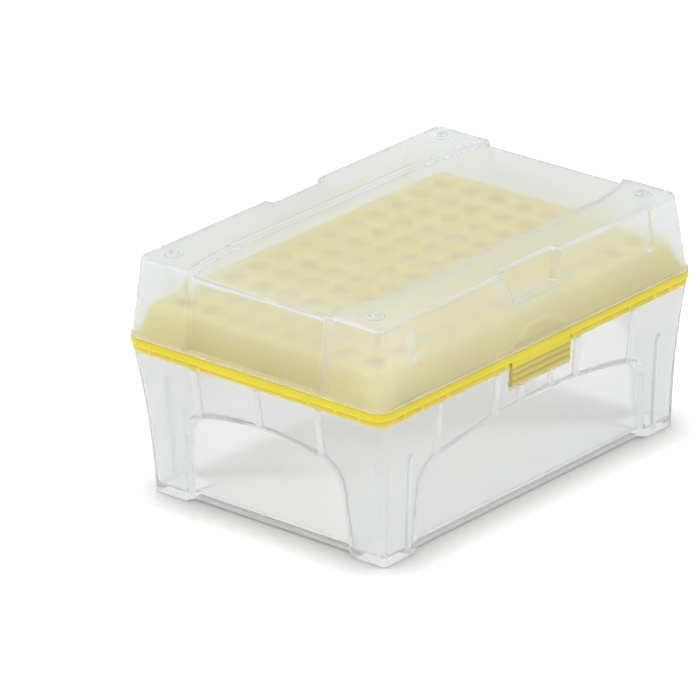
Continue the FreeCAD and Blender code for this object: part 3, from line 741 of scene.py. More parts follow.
    def add_ears(self, piece: Object, hinge: "Hinge") -> None:
        """Joins the four bored ears to the back wall."""
        wall = self.rim.across - self.wall
        radius, bore_radius = hinge.ear_radius, hinge.pin_radius + 0.05
        section = [(wall, self.ear_foot), *hinge.round_end(radius, 0, math.pi, 16)]
        section += [(hinge.back - radius, self.ear_shoulder), (wall + self.wall / 2, self.ear_shoulder)]
        bore = [(0.0, -4.0), (bore_radius, -4.0), (bore_radius, 4.0), (0.0, 4.0)]
        for near, far in hinge.ear_spans():
            ear = prism("ear", section, near, far)
            middle = ((near + far) / 2, hinge.back, hinge.height)
            combine(ear, turned("bore", bore, [middle], LYING, PIN_STEPS), Joining.CUT)
            combine(piece, ear, Joining.ADDED)

    def _dress(self, piece: Object) -> None:
        """Gives the rim, the panels' edges and ribs, and the end panels their own materials, which paint
        light: a yellow glow on the rim, highlights on the edges and ribs, and a brighter look on the end
        panels.
        """
        centres = face_centres(piece)
        along, across, up = centres.T
        far_along, far_across = np.abs(along), np.abs(across)
        at_end = (far_along > self.end_walls[0]) & (far_across < self.end_walls[1])
        at_long = (far_across > self.long_walls[0]) & (far_along < self.long_walls[1])
        end, long = self._panels(centres, self.back_grow)
        # Ribs, panel steps, legs and the bottom edge take the whiter edge finish, a painted highlight.
        edges = at_end & (self._ribs(across, up, self.end_ribs) > 0.1) & (end < 0.5)
        edges |= at_long & (self._ribs(along, up, self.long_ribs) > 0.1) & (long < 0.5)
        end, long = self._panels(centres, 0.0)
        edges |= (at_end & on_step(end)) | (at_long & on_step(long))
        leg = (np.abs(far_along - self.leg_place) < self.leg_half) & (far_across > self.leg_across)
        edges |= leg & (up > self.leg_foot - 1) & (up < self.leg_top + 1)
        near_edge = (far_along > self.bottom_edge[0]) | (far_across > self.bottom_edge[1])
        edges |= (up < self.floor - 0.3) & near_edge
        # End panels take a clearer, whiter finish: painted light that brightens them.
        areas = np.where(at_end & (end > 0.9) & (up > self.floor), BaseArea.PANELS, BaseArea.WALLS)
        areas[edges] = BaseArea.EDGES
        # The top band takes the yellow-tinted rim finish, painted light of the lit tray behind it.
        areas[(up > RimPads().foot - 0.4) & (far_across < self.rim.across + 0.3)] = BaseArea.RIM
        set_areas(piece, areas)

    def build(self, hinge: "Hinge", finishes: Sequence[Finish]) -> Object:
        """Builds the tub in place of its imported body.

        Args:
            hinge: the hinge whose ears it carries.
            finishes: one finish for each area.

        Returns:
            The finished piece.
        """
        piece = self.skin().piece("clear_base")
        combine(piece, RimPads().bars(0.05, 1.2), Joining.CUT)
        self.add_ears(piece, hinge)
        finish_piece(piece, "base", "base_box", finishes)
        self._dress(piece)
        return piece


@dataclass(frozen=True)
class Hinge:
    """The two moulded hinges at the back."""

    place: float = 32.0
    back: float = 45.5
    height: float = 42.0
    ear_radius: float = 2.3
    ear_width: float = 2.0
    lug_radius: float = 2.2
    lug_width: float = 6.0
    side_play: float = 0.2
    pin_radius: float = 1.2

    def round_end(self, radius: float, start: float, end: float, steps: int) -> list[Pair]:
        """Points round the hinge's axis as (y, z), from one angle to another."""
        angles = np.linspace(start, end, steps + 1)
        return [(self.back + radius * math.cos(a), self.height + radius * math.sin(a)) for a in angles]

    def ear_spans(self) -> list[Pair]:
        """Where each ear begins and ends along X."""
        near = self.lug_width / 2 + self.side_play
        far = near + self.ear_width
        spans = [(-far, -near), (near, far)]
        return [(centre + low, centre + high) for centre in (-self.place, self.place) for low, high in spans]


# ---------------------------------------------------------------- yellow tray


@dataclass(frozen=True)
class RimPads:
    """Pads of the tray's skirt that fill slots in the base's rim, where the full colour shows."""

    long_places: tuple[float, ...] = (35.4, 45.2, 51.4)
    end_places: tuple[float, ...] = (18.2, 27.0, 34.8)
    latch_place: float = 13.1
    half: float = 0.65
    foot: float = 39.6
    middle_half: float = 17.5
    middle_foot: float = 40.35
    top: float = 41.0
    long_reach: Pair = (40.6, 42.25)
    end_reach: Pair = (58.6, 60.35)

    def blocks(self, grow: float, through: float) -> list[tuple[Triple, Triple]]:
        """The pads as lowest and highest corners.

        Args:
            grow: play added on every side.
            through: how much further they reach inward, outward and upward.

        Returns:
            One pair of corners for each pad.
        """
        ends = [(place, self.half, self.foot) for place in self.end_places]
        ends += [(-place, half, foot) for place, half, foot in ends]
        ends.append((0.0, self.middle_half, self.middle_foot))
        longs = [(side * place, self.half) for place in self.long_places for side in (-1, 1)]
        latch = [(side * self.latch_place, 1.4 * self.half) for side in (-1, 1)]
        foot, top = self.foot - grow, self.top + through
        found = []
        for side in (-1, 1):
            near, far = self._reach(self.end_reach, side, through)
            for place, half, low in ends:
                found.append(((near, place - half - grow, low - grow), (far, place + half + grow, top)))
            near, far = self._reach(self.long_reach, side, through)
            for place, half in longs + (latch if side < 0 else []):
                found.append(((place - half - grow, near, foot), (place + half + grow, far, top)))
        return found

    def _reach(self, reach: Pair, side: int, through: float) -> list[float]:
        """Where a pad on one side begins and ends across its wall."""
        return sorted((side * (reach[0] - through), side * (reach[1] + through)))

    def bars(self, grow: float = 0.0, through: float = 0.0) -> Object:
        """The pads, or with play the slots that take them, as one object of closed boxes."""
        points, faces = [], []
        for low, high in self.blocks(grow, through):
            first = len(points)
            corners = product(*zip(low[::-1], high[::-1]))
            points += [(x, y, z) for z, y, x in corners]
            sides = [(0, 2, 3, 1), (4, 5, 7, 6), (0, 1, 5, 4), (2, 6, 7, 3), (0, 4, 6, 2), (1, 3, 7, 5)]
            faces += [tuple(first + corner for corner in side) for side in sides]
        return new_object("bars", np.array(points), faces)


@dataclass
class TipTray:
    """The tray: flange, locating skirt, raised deck with 96 rimmed holes and the ridged tab."""

    flange: Level = Level(61.0, 42.8, 4.5, 43.1)
    flange_foot: float = 40.95
    flange_edge: float = 0.5
    skirt: Level = Level(58.9, 40.8, 2.1, 38.95)
    riser: Level = Level(59.0, 41.0, 3.5, 43.1)
    deck: Level = Level(56.5, 38.5, 3.5, 51.2)
    deck_plate: float = 1.6
    deck_edge: float = 0.8
    wall: float = 1.5
    flat: float = 56.2
    flat_half: float = 23.5
    pitch: float = 9.0
    columns: int = 12
    rows: int = 8
    hole_radius: float = 2.8
    rim_radius: float = 3.35
    rim_rise: float = 0.35
    tab_half: float = 11.3
    tab_back: float = 40.5
    tab_front: float = 42.3
    tab_lean: float = 0.1
    ridge: float = 1.75
    ridge_radius: float = 1.2
    tab_top: float = 39.3

    @property
    def layout(self) -> Layout:
        """Mesh lines of the skirt and the deck."""
        y_lines = spaced(0, 22, 4.4) + [23.0, 23.3, 23.7, 24.0, 24.6, 25.0, 25.4, 28.0, 32.0]
        return Layout(mirrored(spaced(0, 49.8, 5)), mirrored(y_lines), 2, 16)

    def _moved(self, points: Array, depth: float, start: float) -> Array:
        """A face at a depth, flat in the middle of the raised skirt's ends above a start."""
        along, across, up = points.T
        flat = inside(self.flat_half + depth - np.abs(across), SOFT_STEP) * (up > start + 0.05)
        held = np.sign(along) * np.minimum(np.abs(along), self.flat - depth)
        return np.stack([along + (held - along) * flat, across, up], axis=1)

    def outer(self, points: Array) -> Array:
        """The outer face."""
        return self._moved(points, 0.0, self.flange.height)

    def inner(self, points: Array) -> Array:
        """The inner face, a wall's thickness behind the outer one."""
        return self._moved(points, self.wall, self.flange_foot)

    def skin(self) -> Skin:
        """The closed tray without its holes and tab."""
        skin = Skin(self.layout)
        inside_foot = self.riser.inset(self.wall)
        at = self.riser.towards
        inner_levels = [
            at(self.deck, self.deck.height - self.deck_plate).inset(self.wall),
            at(self.deck, 46.0).inset(self.wall),
            inside_foot,
            inside_foot.at_height(self.flange_foot + 0.1),
            inside_foot.at_height(self.flange_foot - 0.1),
            inside_foot.at_height(self.skirt.height),
        ]
        outer_levels = [
            self.skirt.inset(0.3),
            self.skirt.inset(0.0, 0.3),
            self.skirt.at_height(self.flange_foot),
            *rounded_foot(self.flange.at_height(self.flange_foot), self.flange_edge),
            *rounded_top(self.flange.at_height(42.85), 0.25),
            self.riser.inset(-0.4),
            self.riser.inset(-0.1, 0.1),
            at(self.deck, 43.5),
            at(self.deck, 47.0),
            *rounded_top(at(self.deck, self.deck.height - self.deck_edge), self.deck_edge, 4),
        ]
        skin.close(inner_levels, self.inner, outer_levels, self.outer)
        return skin

    def hole_centres(self, height: float) -> list[Triple]:
        """Centres of the 96 holes at a height."""
        x_start, y_start = self.pitch * (self.columns - 1) / 2, self.pitch * (self.rows - 1) / 2
        return [
            (self.pitch * column - x_start, self.pitch * row - y_start, height)
            for column in range(self.columns)
            for row in range(self.rows)
        ]

    def tab_section(self) -> list[Pair]:
        """The tab's section as (y, z): three rounded ridges below the flange."""
        flange_front = self.flange.across - self.flange_edge / 2
        section = [(-self.tab_back, self.flange_foot + 0.5), (-flange_front, self.flange_foot + 0.5)]
        section.append((-flange_front, self.tab_top))
        steps = range(4)
        corners = [(n * self.tab_lean - self.tab_front, self.tab_top - n * self.ridge) for n in steps]
        for start, end in zip(corners, corners[1:]):
            section += arc(start, end, self.ridge_radius, 8)
        section.append((-self.tab_back, self.tab_top - 3 * self.ridge))
        return section

    def collar(self) -> list[Pair]:
        """The section of a hole's raised rim, from its top down."""
        rise, outside, bore = self.rim_rise, self.rim_radius, self.hole_radius
        return [
            (bore - 0.3, -1.0),
            (outside, -1.0),
            (outside, rise * 0.45),
            (outside - 0.07, rise * 0.85),
            (outside - 0.2, rise),
            (bore + 0.12, rise),
            (bore - 0.3, rise - 0.35),
        ]

    def bore(self) -> list[Pair]:
        """The section of the cut that opens a hole."""
        bore, mouth, rise = self.hole_radius, self.hole_radius + 0.2, self.rim_rise
        shaft = [(0.0, -3.0), (bore, -3.0), (bore, rise - 0.18)]
        return [*shaft, (mouth, rise + 0.02), (mouth, 1.0), (0.0, 1.0)]

    def build(self, finishes: Sequence[Finish]) -> Object:
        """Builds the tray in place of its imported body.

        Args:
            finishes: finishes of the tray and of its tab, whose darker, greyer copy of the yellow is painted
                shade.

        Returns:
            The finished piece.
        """
        piece = self.skin().piece("yellow_tray")
        holes = self.hole_centres(self.deck.height)
        combine(piece, turned("rims", self.collar(), holes), Joining.ADDED)
        combine(piece, turned("bores", self.bore(), holes), Joining.CUT)
        combine(piece, prism("tab", self.tab_section(), -self.tab_half, self.tab_half), Joining.ADDED)
        combine(piece, RimPads().bars(), Joining.ADDED)
        finish_piece(piece, "base", "tip_tray", finishes)
        along, across, up = face_centres(piece).T
        on_tab = (np.abs(along) < self.tab_half + PLAY) & (across < -self.tab_back + PLAY)
        # The tab's faces take the darker, greyer yellow: painted shade.
        set_areas(piece, on_tab & (up < self.tab_top))
        return piece


# ---------------------------------------------------------------- frosted lid


class LidArea(IntEnum):
    """Areas of the lid with a finish of their own."""

    GRAINED = 0
    WINDOW = 1
    LIP = 2
    EDGES = 3


@dataclass
class Lid:
    """The cover: low clear window, end flats, finger grips, thumb scoop, nubs, ribs and lugs."""

    lip: Level = Level(61.0, 42.8, 4.5, 43.2)
    foot: Level = Level(60.5, 42.4, 4.1, 43.2)
    top: Level = Level(57.8, 40.3, 3.0, 64.2)
    lip_height: float = 0.9
    lip_edge: float = 0.3
    wall: float = 1.2
    edge: float = 1.2
    window_drop: float = 1.3
    window_half: float = 26.0
    window_straight: float = 32.0
    window_bend: float = 90.0
    window_reach: float = 26.0
    polished_inset: float = 1.2
    drop_foot: float = 48.0
    drop_rise: float = 13.0
    step_width: float = 1.3
    flat_top: float = 57.05
    flat_foot: float = 59.5
    flat_ledge: float = 44.2
    flat_narrowing: float = 0.86
    flat_rise: float = 17.5
    flat_wall: float = 1.0
    end_width: float = 4.9
    grip_foot: float = 55.8
    grip_half_foot: float = 8.5
    grip_half_top: float = 10.2
    grip_depth: float = 2.5
    grip_across: float = 36.5
    scoop_half: float = 10.0
    scoop_foot: float = 44.6
    scoop_radius: float = 14.0
    scoop_depth: float = 0.5
    rib_place: float = 45.4
    rib_half: float = 1.1
    rib_depth: float = 1.0
    rib_foot: float = 52.2
    rib_across: Pair = (36.0, 39.9)
    nub_along: float = 51.6
    nub_across: float = 33.4
    nub_radius: float = 2.3
    nub_height: float = 0.6
    dimple_radius: float = 1.25

    @property
    def layout(self) -> Layout:
        """Mesh lines that carry the window's edges, the grips and the ribs."""
        x_lines = spaced(0, 7, 1.75) + spaced(7.4, 11.9, 0.38)
        x_lines += spaced(13.5, 42.6, 2.4) + spaced(46.3, 50.6, 1.4)
        x_lines += around(self.rib_place, self.rib_half)
        y_lines = spaced(0, 19.2, 2.4) + spaced(20.2, 27.4, 0.3) + spaced(28.4, 34.0, 1.4)
        return Layout(mirrored(x_lines), mirrored(y_lines), 2, 12)

    def _window(self, along: Array, across: Array, up: Array, grow: float) -> Array:
        """Mask of the low middle strip on the top and down the end walls."""
        past = np.clip(np.abs(along) - self.window_straight, 0, self.window_reach)
        half = self.window_half - self.window_bend + np.sqrt(self.window_bend**2 - past**2)
        narrowing = self.flat_narrowing * (1 - np.clip((up - self.flat_ledge) / self.flat_rise, 0, 1))
        return inside(half - narrowing + grow - np.abs(across), self.step_width)

    def _grip(self, along: Array, up: Array, grow: float) -> Array:
        """Mask of the finger grips in the long walls."""
        spread = (up - self.grip_foot) / (self.top.height - self.grip_foot)
        half = self.grip_half_foot + (self.grip_half_top - self.grip_half_foot) * spread + grow
        return inside(half - np.abs(along), 0.8) * inside(up - self.grip_foot + grow, SOFT_STEP)

    def _scoop(self, points: Array) -> Array:
        """Mask of the thumb scoop over the latch."""
        along, across, up = points.T
        half, foot = self.scoop_half, self.scoop_foot
        over = arc((half, foot), (-half, foot), self.scoop_radius, 24)
        near = (across < 0) & (up < self.rib_foot)
        return inside(signed_distance(along, up, over), 0.9) * near

    def _moved(self, points: Array, grow: float, thinner: float, ribs: Array) -> Array:
        """Moves a face of the plain cover in to the window, the flats, the grips and the ribs.

        Args:
            points: points of the plain cover.
            grow: how far the recesses' outlines are grown, a wall's thickness on the inner face.
            thinner: how much less the end flats move than the wall.
            ribs: how far each point of the long walls stands in for the ribs.

        Returns:
            The moved points.
        """
        along, across, up = points.T
        window = self._window(along, across, up, grow)
        on_end, on_long = facing(points, self.end_width)
        above = inside(up - self.flat_ledge + min(grow, self.flat_wall), 0.5)
        lean = (self.foot.along - self.top.along) / (self.top.height - self.foot.height)
        flat_lean = (self.flat_foot - self.flat_top) / (self.top.height - self.flat_ledge)
        flat_depth = self.top.along - self.flat_top + (self.top.height - up) * (lean - flat_lean) - thinner
        drop = self.window_drop * np.clip((up - self.drop_foot) / self.drop_rise, 0, 1)
        grip = self._grip(along, up, grow)
        end_depth = flat_depth * window * above * on_end
        return drawn_in(points, end_depth, np.maximum(self.grip_depth * grip, ribs) * on_long, -drop * window)

    def outer(self, points: Array) -> Array:
        """The outer face."""
        moved = self._moved(points, 0.0, 0.0, np.zeros(len(points)))
        moved[:, 1] += self.scoop_depth * self._scoop(points)
        return moved

    def inner(self, points: Array) -> Array:
        """The inner face, with the upright ribs near the corners."""
        along, _, up = points.T
        off_axis = np.abs(np.abs(along) - self.rib_place)
        ribs = inside(self.rib_half - off_axis, RIB_FLANK) * self.rib_depth
        ribs = ribs * inside(up - self.rib_foot, SOFT_STEP)
        return self._moved(points, self.wall, self.wall - self.flat_wall, ribs)

    def skin(self) -> Skin:
        """The closed cover."""
        skin = Skin(self.layout)
        at = self.foot.towards
        heights = [44.3, 44.5, 44.75, 45.1, 45.6, 46.3, 47, 47.7, 48.3, 48.9, 49.6, 50.3, 51.2, 52.4, 53.8]
        heights += [54.7, 55.1, 55.4, 55.7, 56.0, 56.3, 56.8, 58, 59.4, 60.8, 62.1]
        inner_heights = [43.35, 43.5, 43.65, 43.9, 44.6, 46, 48, 50, 51.7, 52.05, 52.35, 52.7, 53.6]
        inner_heights += [54.1, 54.4, 54.7, 55, 55.4, 56.6, 58.1, 59.8, 61.5]
        inner_edge = self.edge / 2
        ceiling = at(self.top, self.top.height - self.wall - inner_edge).inset(self.wall)
        bend = rounded_top(ceiling, inner_edge)
        inner_levels = bend[::-1] + [at(self.top, height).inset(self.wall) for height in inner_heights[::-1]]
        inner_levels.append(self.foot.inset(self.wall - 0.1))
        lip_top = self.lip.at_height(self.lip.height + self.lip_height - self.lip_edge)
        outer_levels = rounded_foot(self.lip, self.lip_edge) + rounded_top(lip_top, self.lip_edge)
        outer_levels += [at(self.top, h) for h in heights]
        outer_levels += rounded_top(at(self.top, self.top.height - self.edge), self.edge, 5)
        skin.close(inner_levels, self.inner, outer_levels, self.outer)
        return skin

    def add_nubs(self, piece: Object) -> None:
        """Joins the four dimpled stacking nubs to the shoulders."""
        radius, rise, dimple = self.nub_radius, self.nub_height, self.dimple_radius
        profile = [
            (0.0, -0.5),
            (radius + 0.05, -0.5),
            (radius + 0.05, rise * 0.2),
            (radius - 0.08, rise * 0.75),
            (radius - 0.3, rise),
            (dimple, rise),
            (dimple - 0.2, rise * 0.8),
            (dimple - 0.4, rise * 0.25),
            (dimple - 0.7, rise * 0.05),
            (0.0, rise * 0.05),
        ]
        sides = product((-1, 1), (-1, 1))
        centres = [(x * self.nub_along, y * self.nub_across, self.top.height) for x, y in sides]
        combine(piece, turned("nubs", profile, centres), Joining.ADDED)

    def add_lugs(self, piece: Object, hinge: Hinge) -> None:
        """Joins the two hinge lugs and their stub pins."""
        under = self.lip.height + 0.1
        drop = math.sqrt(hinge.lug_radius**2 - (under - hinge.height) ** 2)
        start = math.atan2(under - hinge.height, -drop)
        round_end = hinge.round_end(hinge.lug_radius, start, 2 * math.pi + math.pi / 2, 24)
        section = [(self.foot.across - self.wall / 2, under), *round_end, (self.foot.across - 1.1, 46.0)]
        half, radius = hinge.lug_width / 2, hinge.pin_radius
        pin = half + hinge.side_play + hinge.ear_width
        lower = [(0.0, -pin), (radius - 0.2, -pin), (radius, 0.2 - pin)]
        profile = lower + [(place, -height) for place, height in reversed(lower)]
        for centre in (-hinge.place, hinge.place):
            lug = prism("lug", section, centre - half, centre + half)
            stub = turned("pin", profile, [(centre, hinge.back, hinge.height)], LYING, PIN_STEPS)
            combine(lug, stub, Joining.ADDED)
            combine(piece, lug, Joining.ADDED)

    def build(self, hinge: Hinge, finishes: Sequence[Finish]) -> Object:
        """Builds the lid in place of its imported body.

        Args:
            hinge: the hinge whose lugs it carries.
            finishes: one finish for each area.

        Returns:
            The finished piece.
        """
        piece = self.skin().piece("frosted_lid")
        self.add_nubs(piece)
        self.add_lugs(piece, hinge)
        finish_piece(piece, "lid", "lid", finishes)
        self._dress(piece)
        return piece

    def _dress(self, piece: Object) -> None:
        """Gives the window, the lip, and the edges and ribs their own materials; the lip's and the edges'
        whiter finishes are painted highlights.
        """
        centres = face_centres(piece)
        along, across, up = centres.T
        far_along, far_across = np.abs(along), np.abs(across)
        upright = np.array([abs(face.normal.z) for face in piece.data.polygons])
        window_foot = self.top.height - self.window_drop - self.wall - 0.3
        polished = self._window(*centres.T, -self.polished_inset) > 0.5
        window = (up > window_foot) & (upright > 0.9) & polished
        areas = np.where(window, LidArea.WINDOW, LidArea.GRAINED)
        # Grip ledges, top edges and ribs take the whiter edge finish, a painted highlight.
        ledge = (np.abs(up - self.grip_foot) < 0.5) & (far_along < self.grip_half_foot + 0.4)
        edges = ledge & (far_across > self.grip_across)
        edges |= (up > self.top.height - self.edge) & (upright > 0.3) & (upright < 0.95)
        ribs = (np.abs(far_along - self.rib_place) < self.rib_half) & (np.abs(up - self.rib_foot - 4) < 4)
        edges |= ribs & (far_across > self.rib_across[0]) & (far_across < self.rib_across[1])
        areas[edges] = LidArea.EDGES
        # The lip takes the cream-white finish, a painted highlight.
        low = up < self.foot.height + self.lip_height + 0.25
        areas[low & (far_across < self.lip.across + 0.1)] = LidArea.LIP
        set_areas(piece, areas)


def set_areas(piece: Object, areas: Array) -> None:
    """Gives each face the finish of its area."""
    piece.data.polygons.foreach_set("material_index", areas.astype(np.int32))


def finish_piece(piece: Object, body: str, node: str, finishes: Sequence[Finish]) -> None:
    """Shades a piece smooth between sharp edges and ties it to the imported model.

    Args:
        piece: the piece in its place.
        body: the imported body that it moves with.
        node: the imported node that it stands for.
        finishes: its finishes, the main one first.
    """
    mesh = piece.data
    mesh.materials.clear()
    for finish in finishes:
        mesh.materials.append(finish.make())
    mesh.shade_smooth()
    mesh.set_sharp_from_angle(angle=SHARP_ANGLE)
    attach(piece, body)
    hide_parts(node)


# ---------------------------------------------------------------- finishes


def placed(
    tree: NodeTree, kind: str, inputs: Mapping[str | int, object] | None = None, **settings: object
) -> Node:
    """Places a shader node.

    Args:
        tree: the node tree that takes it.
        kind: its type, without the words that all shader nodes start with.
        inputs: its inputs, each a value to set or an output to link.
        settings: its own settings.

    Returns:
        The node.
    """
    node = tree.nodes.new(f"ShaderNode{kind}")
    for name, value in settings.items():
        setattr(node, name, value)
    for name, value in (inputs or {}).items():
        if isinstance(value, NodeSocket):
            tree.links.new(value, node.inputs[name])
        else:
            node.inputs[name].default_value = value
    return node


def bare_material(name: str) -> Material:
    """A new material without nodes."""
    material = bpy.data.materials.new(name)
    material.use_nodes = True
    material.node_tree.nodes.clear()
    return material


def group_socket(group: NodeTree, name: str, way: str, value: float | None = None) -> None:
    """Adds one named number to a shader group."""
    socket = group.interface.new_socket(name=name, in_out=way, socket_type="NodeSocketFloat")
    if value is not None:
        socket.default_value = value


@cache
def moulded_grain() -> NodeTree:
    """The shared group of moulded plastic: cloudy flow marks and a fine tool grain.

    Returns:
        The group, with a cloud mask and a grain height.
    """
    group = bpy.data.node_groups.new("moulded_grain", "ShaderNodeTree")
    group_socket(group, "Cloud Scale", "INPUT", 35.0)
    group_socket(group, "Grain Scale", "INPUT", FINE_GRAIN)
    group_socket(group, "Cloud", "OUTPUT")
    group_socket(group, "Grain", "OUTPUT")
    entry, leave = group.nodes.new("NodeGroupInput"), group.nodes.new("NodeGroupOutput")
    place = placed(group, "TexCoord").outputs["Object"]
    look = {"Detail": 3.0, "Roughness": 0.55, "Distortion": 0.6}
    cloud = placed(group, "TexNoise", {**look, "Vector": place, "Scale": entry.outputs["Cloud Scale"]})
    limits = {"From Min": 0.3, "From Max": 0.7, "Value": cloud.outputs["Fac"]}
    spread = placed(group, "MapRange", limits, interpolation_type="SMOOTHSTEP")
    grain = placed(group, "TexNoise", {"Detail": 2.0, "Vector": place, "Scale": entry.outputs["Grain Scale"]})
    group.links.new(spread.outputs["Result"], leave.inputs["Cloud"])
    group.links.new(grain.outputs["Fac"], leave.inputs["Grain"])
    return group


def place_grain(tree: NodeTree, cloud: float, grain: float = FINE_GRAIN) -> Node:
    """Places the shared grain group in a material with its own scales."""
    return placed(tree, "Group", {"Cloud Scale": cloud, "Grain Scale": grain}, node_tree=moulded_grain())


def between(tree: NodeTree, mask: NodeSocket, low: float, high: float) -> NodeSocket:
    """A value that follows a mask from low to high."""
    return placed(tree, "MapRange", {"To Min": low, "To Max": high, "Value": mask}).outputs["Result"]


def blended(tree: NodeTree, mask: NodeSocket, first: Triple, second: Triple) -> NodeSocket:
    """A colour that follows a mask from the first colour to the second."""
    mix = placed(tree, "Mix", {"Factor": mask}, data_type="RGBA")
    mix.inputs["A"].default_value, mix.inputs["B"].default_value = (*first, 1), (*second, 1)
    return mix.outputs["Result"]


def layered(tree: NodeTree, share: NodeSocket | float, under: Node, over: Node) -> Node:
    """Two shaders mixed by the share of the second."""
    return placed(tree, "MixShader", {"Fac": share, 1: under.outputs[0], 2: over.outputs[0]})


@dataclass(frozen=True)
class ClearPlastic:
    """Natural polypropylene: a clear body that blurs what lies behind it, under a milky veil."""

    name: str
    colour: Triple = (0.90, 0.91, 0.92)
    cloudy: Triple = (0.885, 0.895, 0.905)
    roughness: Pair = (0.12, 0.18)
    clearness: float = 0.85
    veil: float = 0.08
    veil_colour: Triple = (0.89, 0.93, 1.0)
    ior: float = 1.42
    shadow_clearness: float = 0.8
    cloud_scale: float = 40.0

    def make(self) -> Material:
        """Builds the material."""
        material = bare_material(self.name)
        tree = material.node_tree
        cloud = place_grain(tree, self.cloud_scale).outputs["Cloud"]
        look = {
            "IOR": self.ior,
            "Transmission Weight": self.clearness,
            "Base Color": blended(tree, cloud, self.colour, self.cloudy),
            "Roughness": between(tree, cloud, *self.roughness),
        }
        veil = placed(tree, "BsdfTranslucent", {"Color": (*self.veil_colour, 1)})
        milky = layered(tree, self.veil, placed(tree, "BsdfPrincipled", look), veil)
        shadow = placed(tree, "LightPath").outputs["Is Shadow Ray"]
        share = placed(tree, "Math", {0: shadow, 1: self.shadow_clearness}, operation="MULTIPLY")
        through = placed(tree, "BsdfTransparent", {"Color": (1, 1, 1, 1)})
        surface = layered(tree, share.outputs["Value"], milky, through)
        placed(tree, "OutputMaterial", {"Surface": surface.outputs["Shader"]})
        return material


@dataclass(frozen=True)
class YellowPlastic:
    """The tray's coloured polypropylene: satin and slightly see-through."""

    name: str
    colour: Triple = (0.90, 0.775, 0.03)
    deep: Triple = (0.87, 0.71, 0.02)
    roughness: Pair = (0.32, 0.42)
    glow_through: float = 0.1
    cloud_scale: float = 45.0
    grain_scale: float = 500.0
    bump_strength: float = 0.2
    bump_depth: float = 0.00002
    ior: float = 1.49
    scatter: float = 0.35
    scatter_radius: Triple = (1.0, 0.8, 0.2)
    scatter_depth: float = 0.001

    def make(self) -> Material:
        """Builds the material."""
        material = bare_material(self.name)
        tree = material.node_tree
        grain = place_grain(tree, self.cloud_scale, self.grain_scale)
        cloud = grain.outputs["Cloud"]
        relief = {"Strength": self.bump_strength, "Distance": self.bump_depth}
        bump = placed(tree, "Bump", {**relief, "Height": grain.outputs["Grain"]})
        look = {
            "IOR": self.ior,
            "Subsurface Weight": self.scatter,
            "Subsurface Radius": self.scatter_radius,
            "Subsurface Scale": self.scatter_depth,
            "Base Color": blended(tree, cloud, self.colour, self.deep),
            "Roughness": between(tree, cloud, *self.roughness),
            "Normal": bump.outputs["Normal"],
        }
        through = placed(tree, "BsdfTranslucent", {"Color": (*self.colour, 1)})
        surface = layered(tree, self.glow_through, placed(tree, "BsdfPrincipled", look), through)
        placed(tree, "OutputMaterial", {"Surface": surface.outputs["Shader"]})
        return material


# ---------------------------------------------------------------- studio


@dataclass(frozen=True)
class Lamp:
    """A square soft lamp that faces the box."""

    name: str
    place: Triple
    size: float
    power: float
    aim: Triple = (0.0, 0.0, 0.03)

    def build(self) -> None:
        """Hangs the lamp, which clear plastic doesn't show."""
        data = bpy.data.lights.new(self.name, "AREA")
        data.size, data.energy = self.size, self.power
        lamp = bpy.data.objects.new(self.name, data)
        lamp.location = self.place
        lamp.visible_transmission = False
        lamp.rotation_euler = (Vector(self.aim) - lamp.location).to_track_quat("-Z", "Y").to_euler()
        bpy.context.scene.collection.objects.link(lamp)


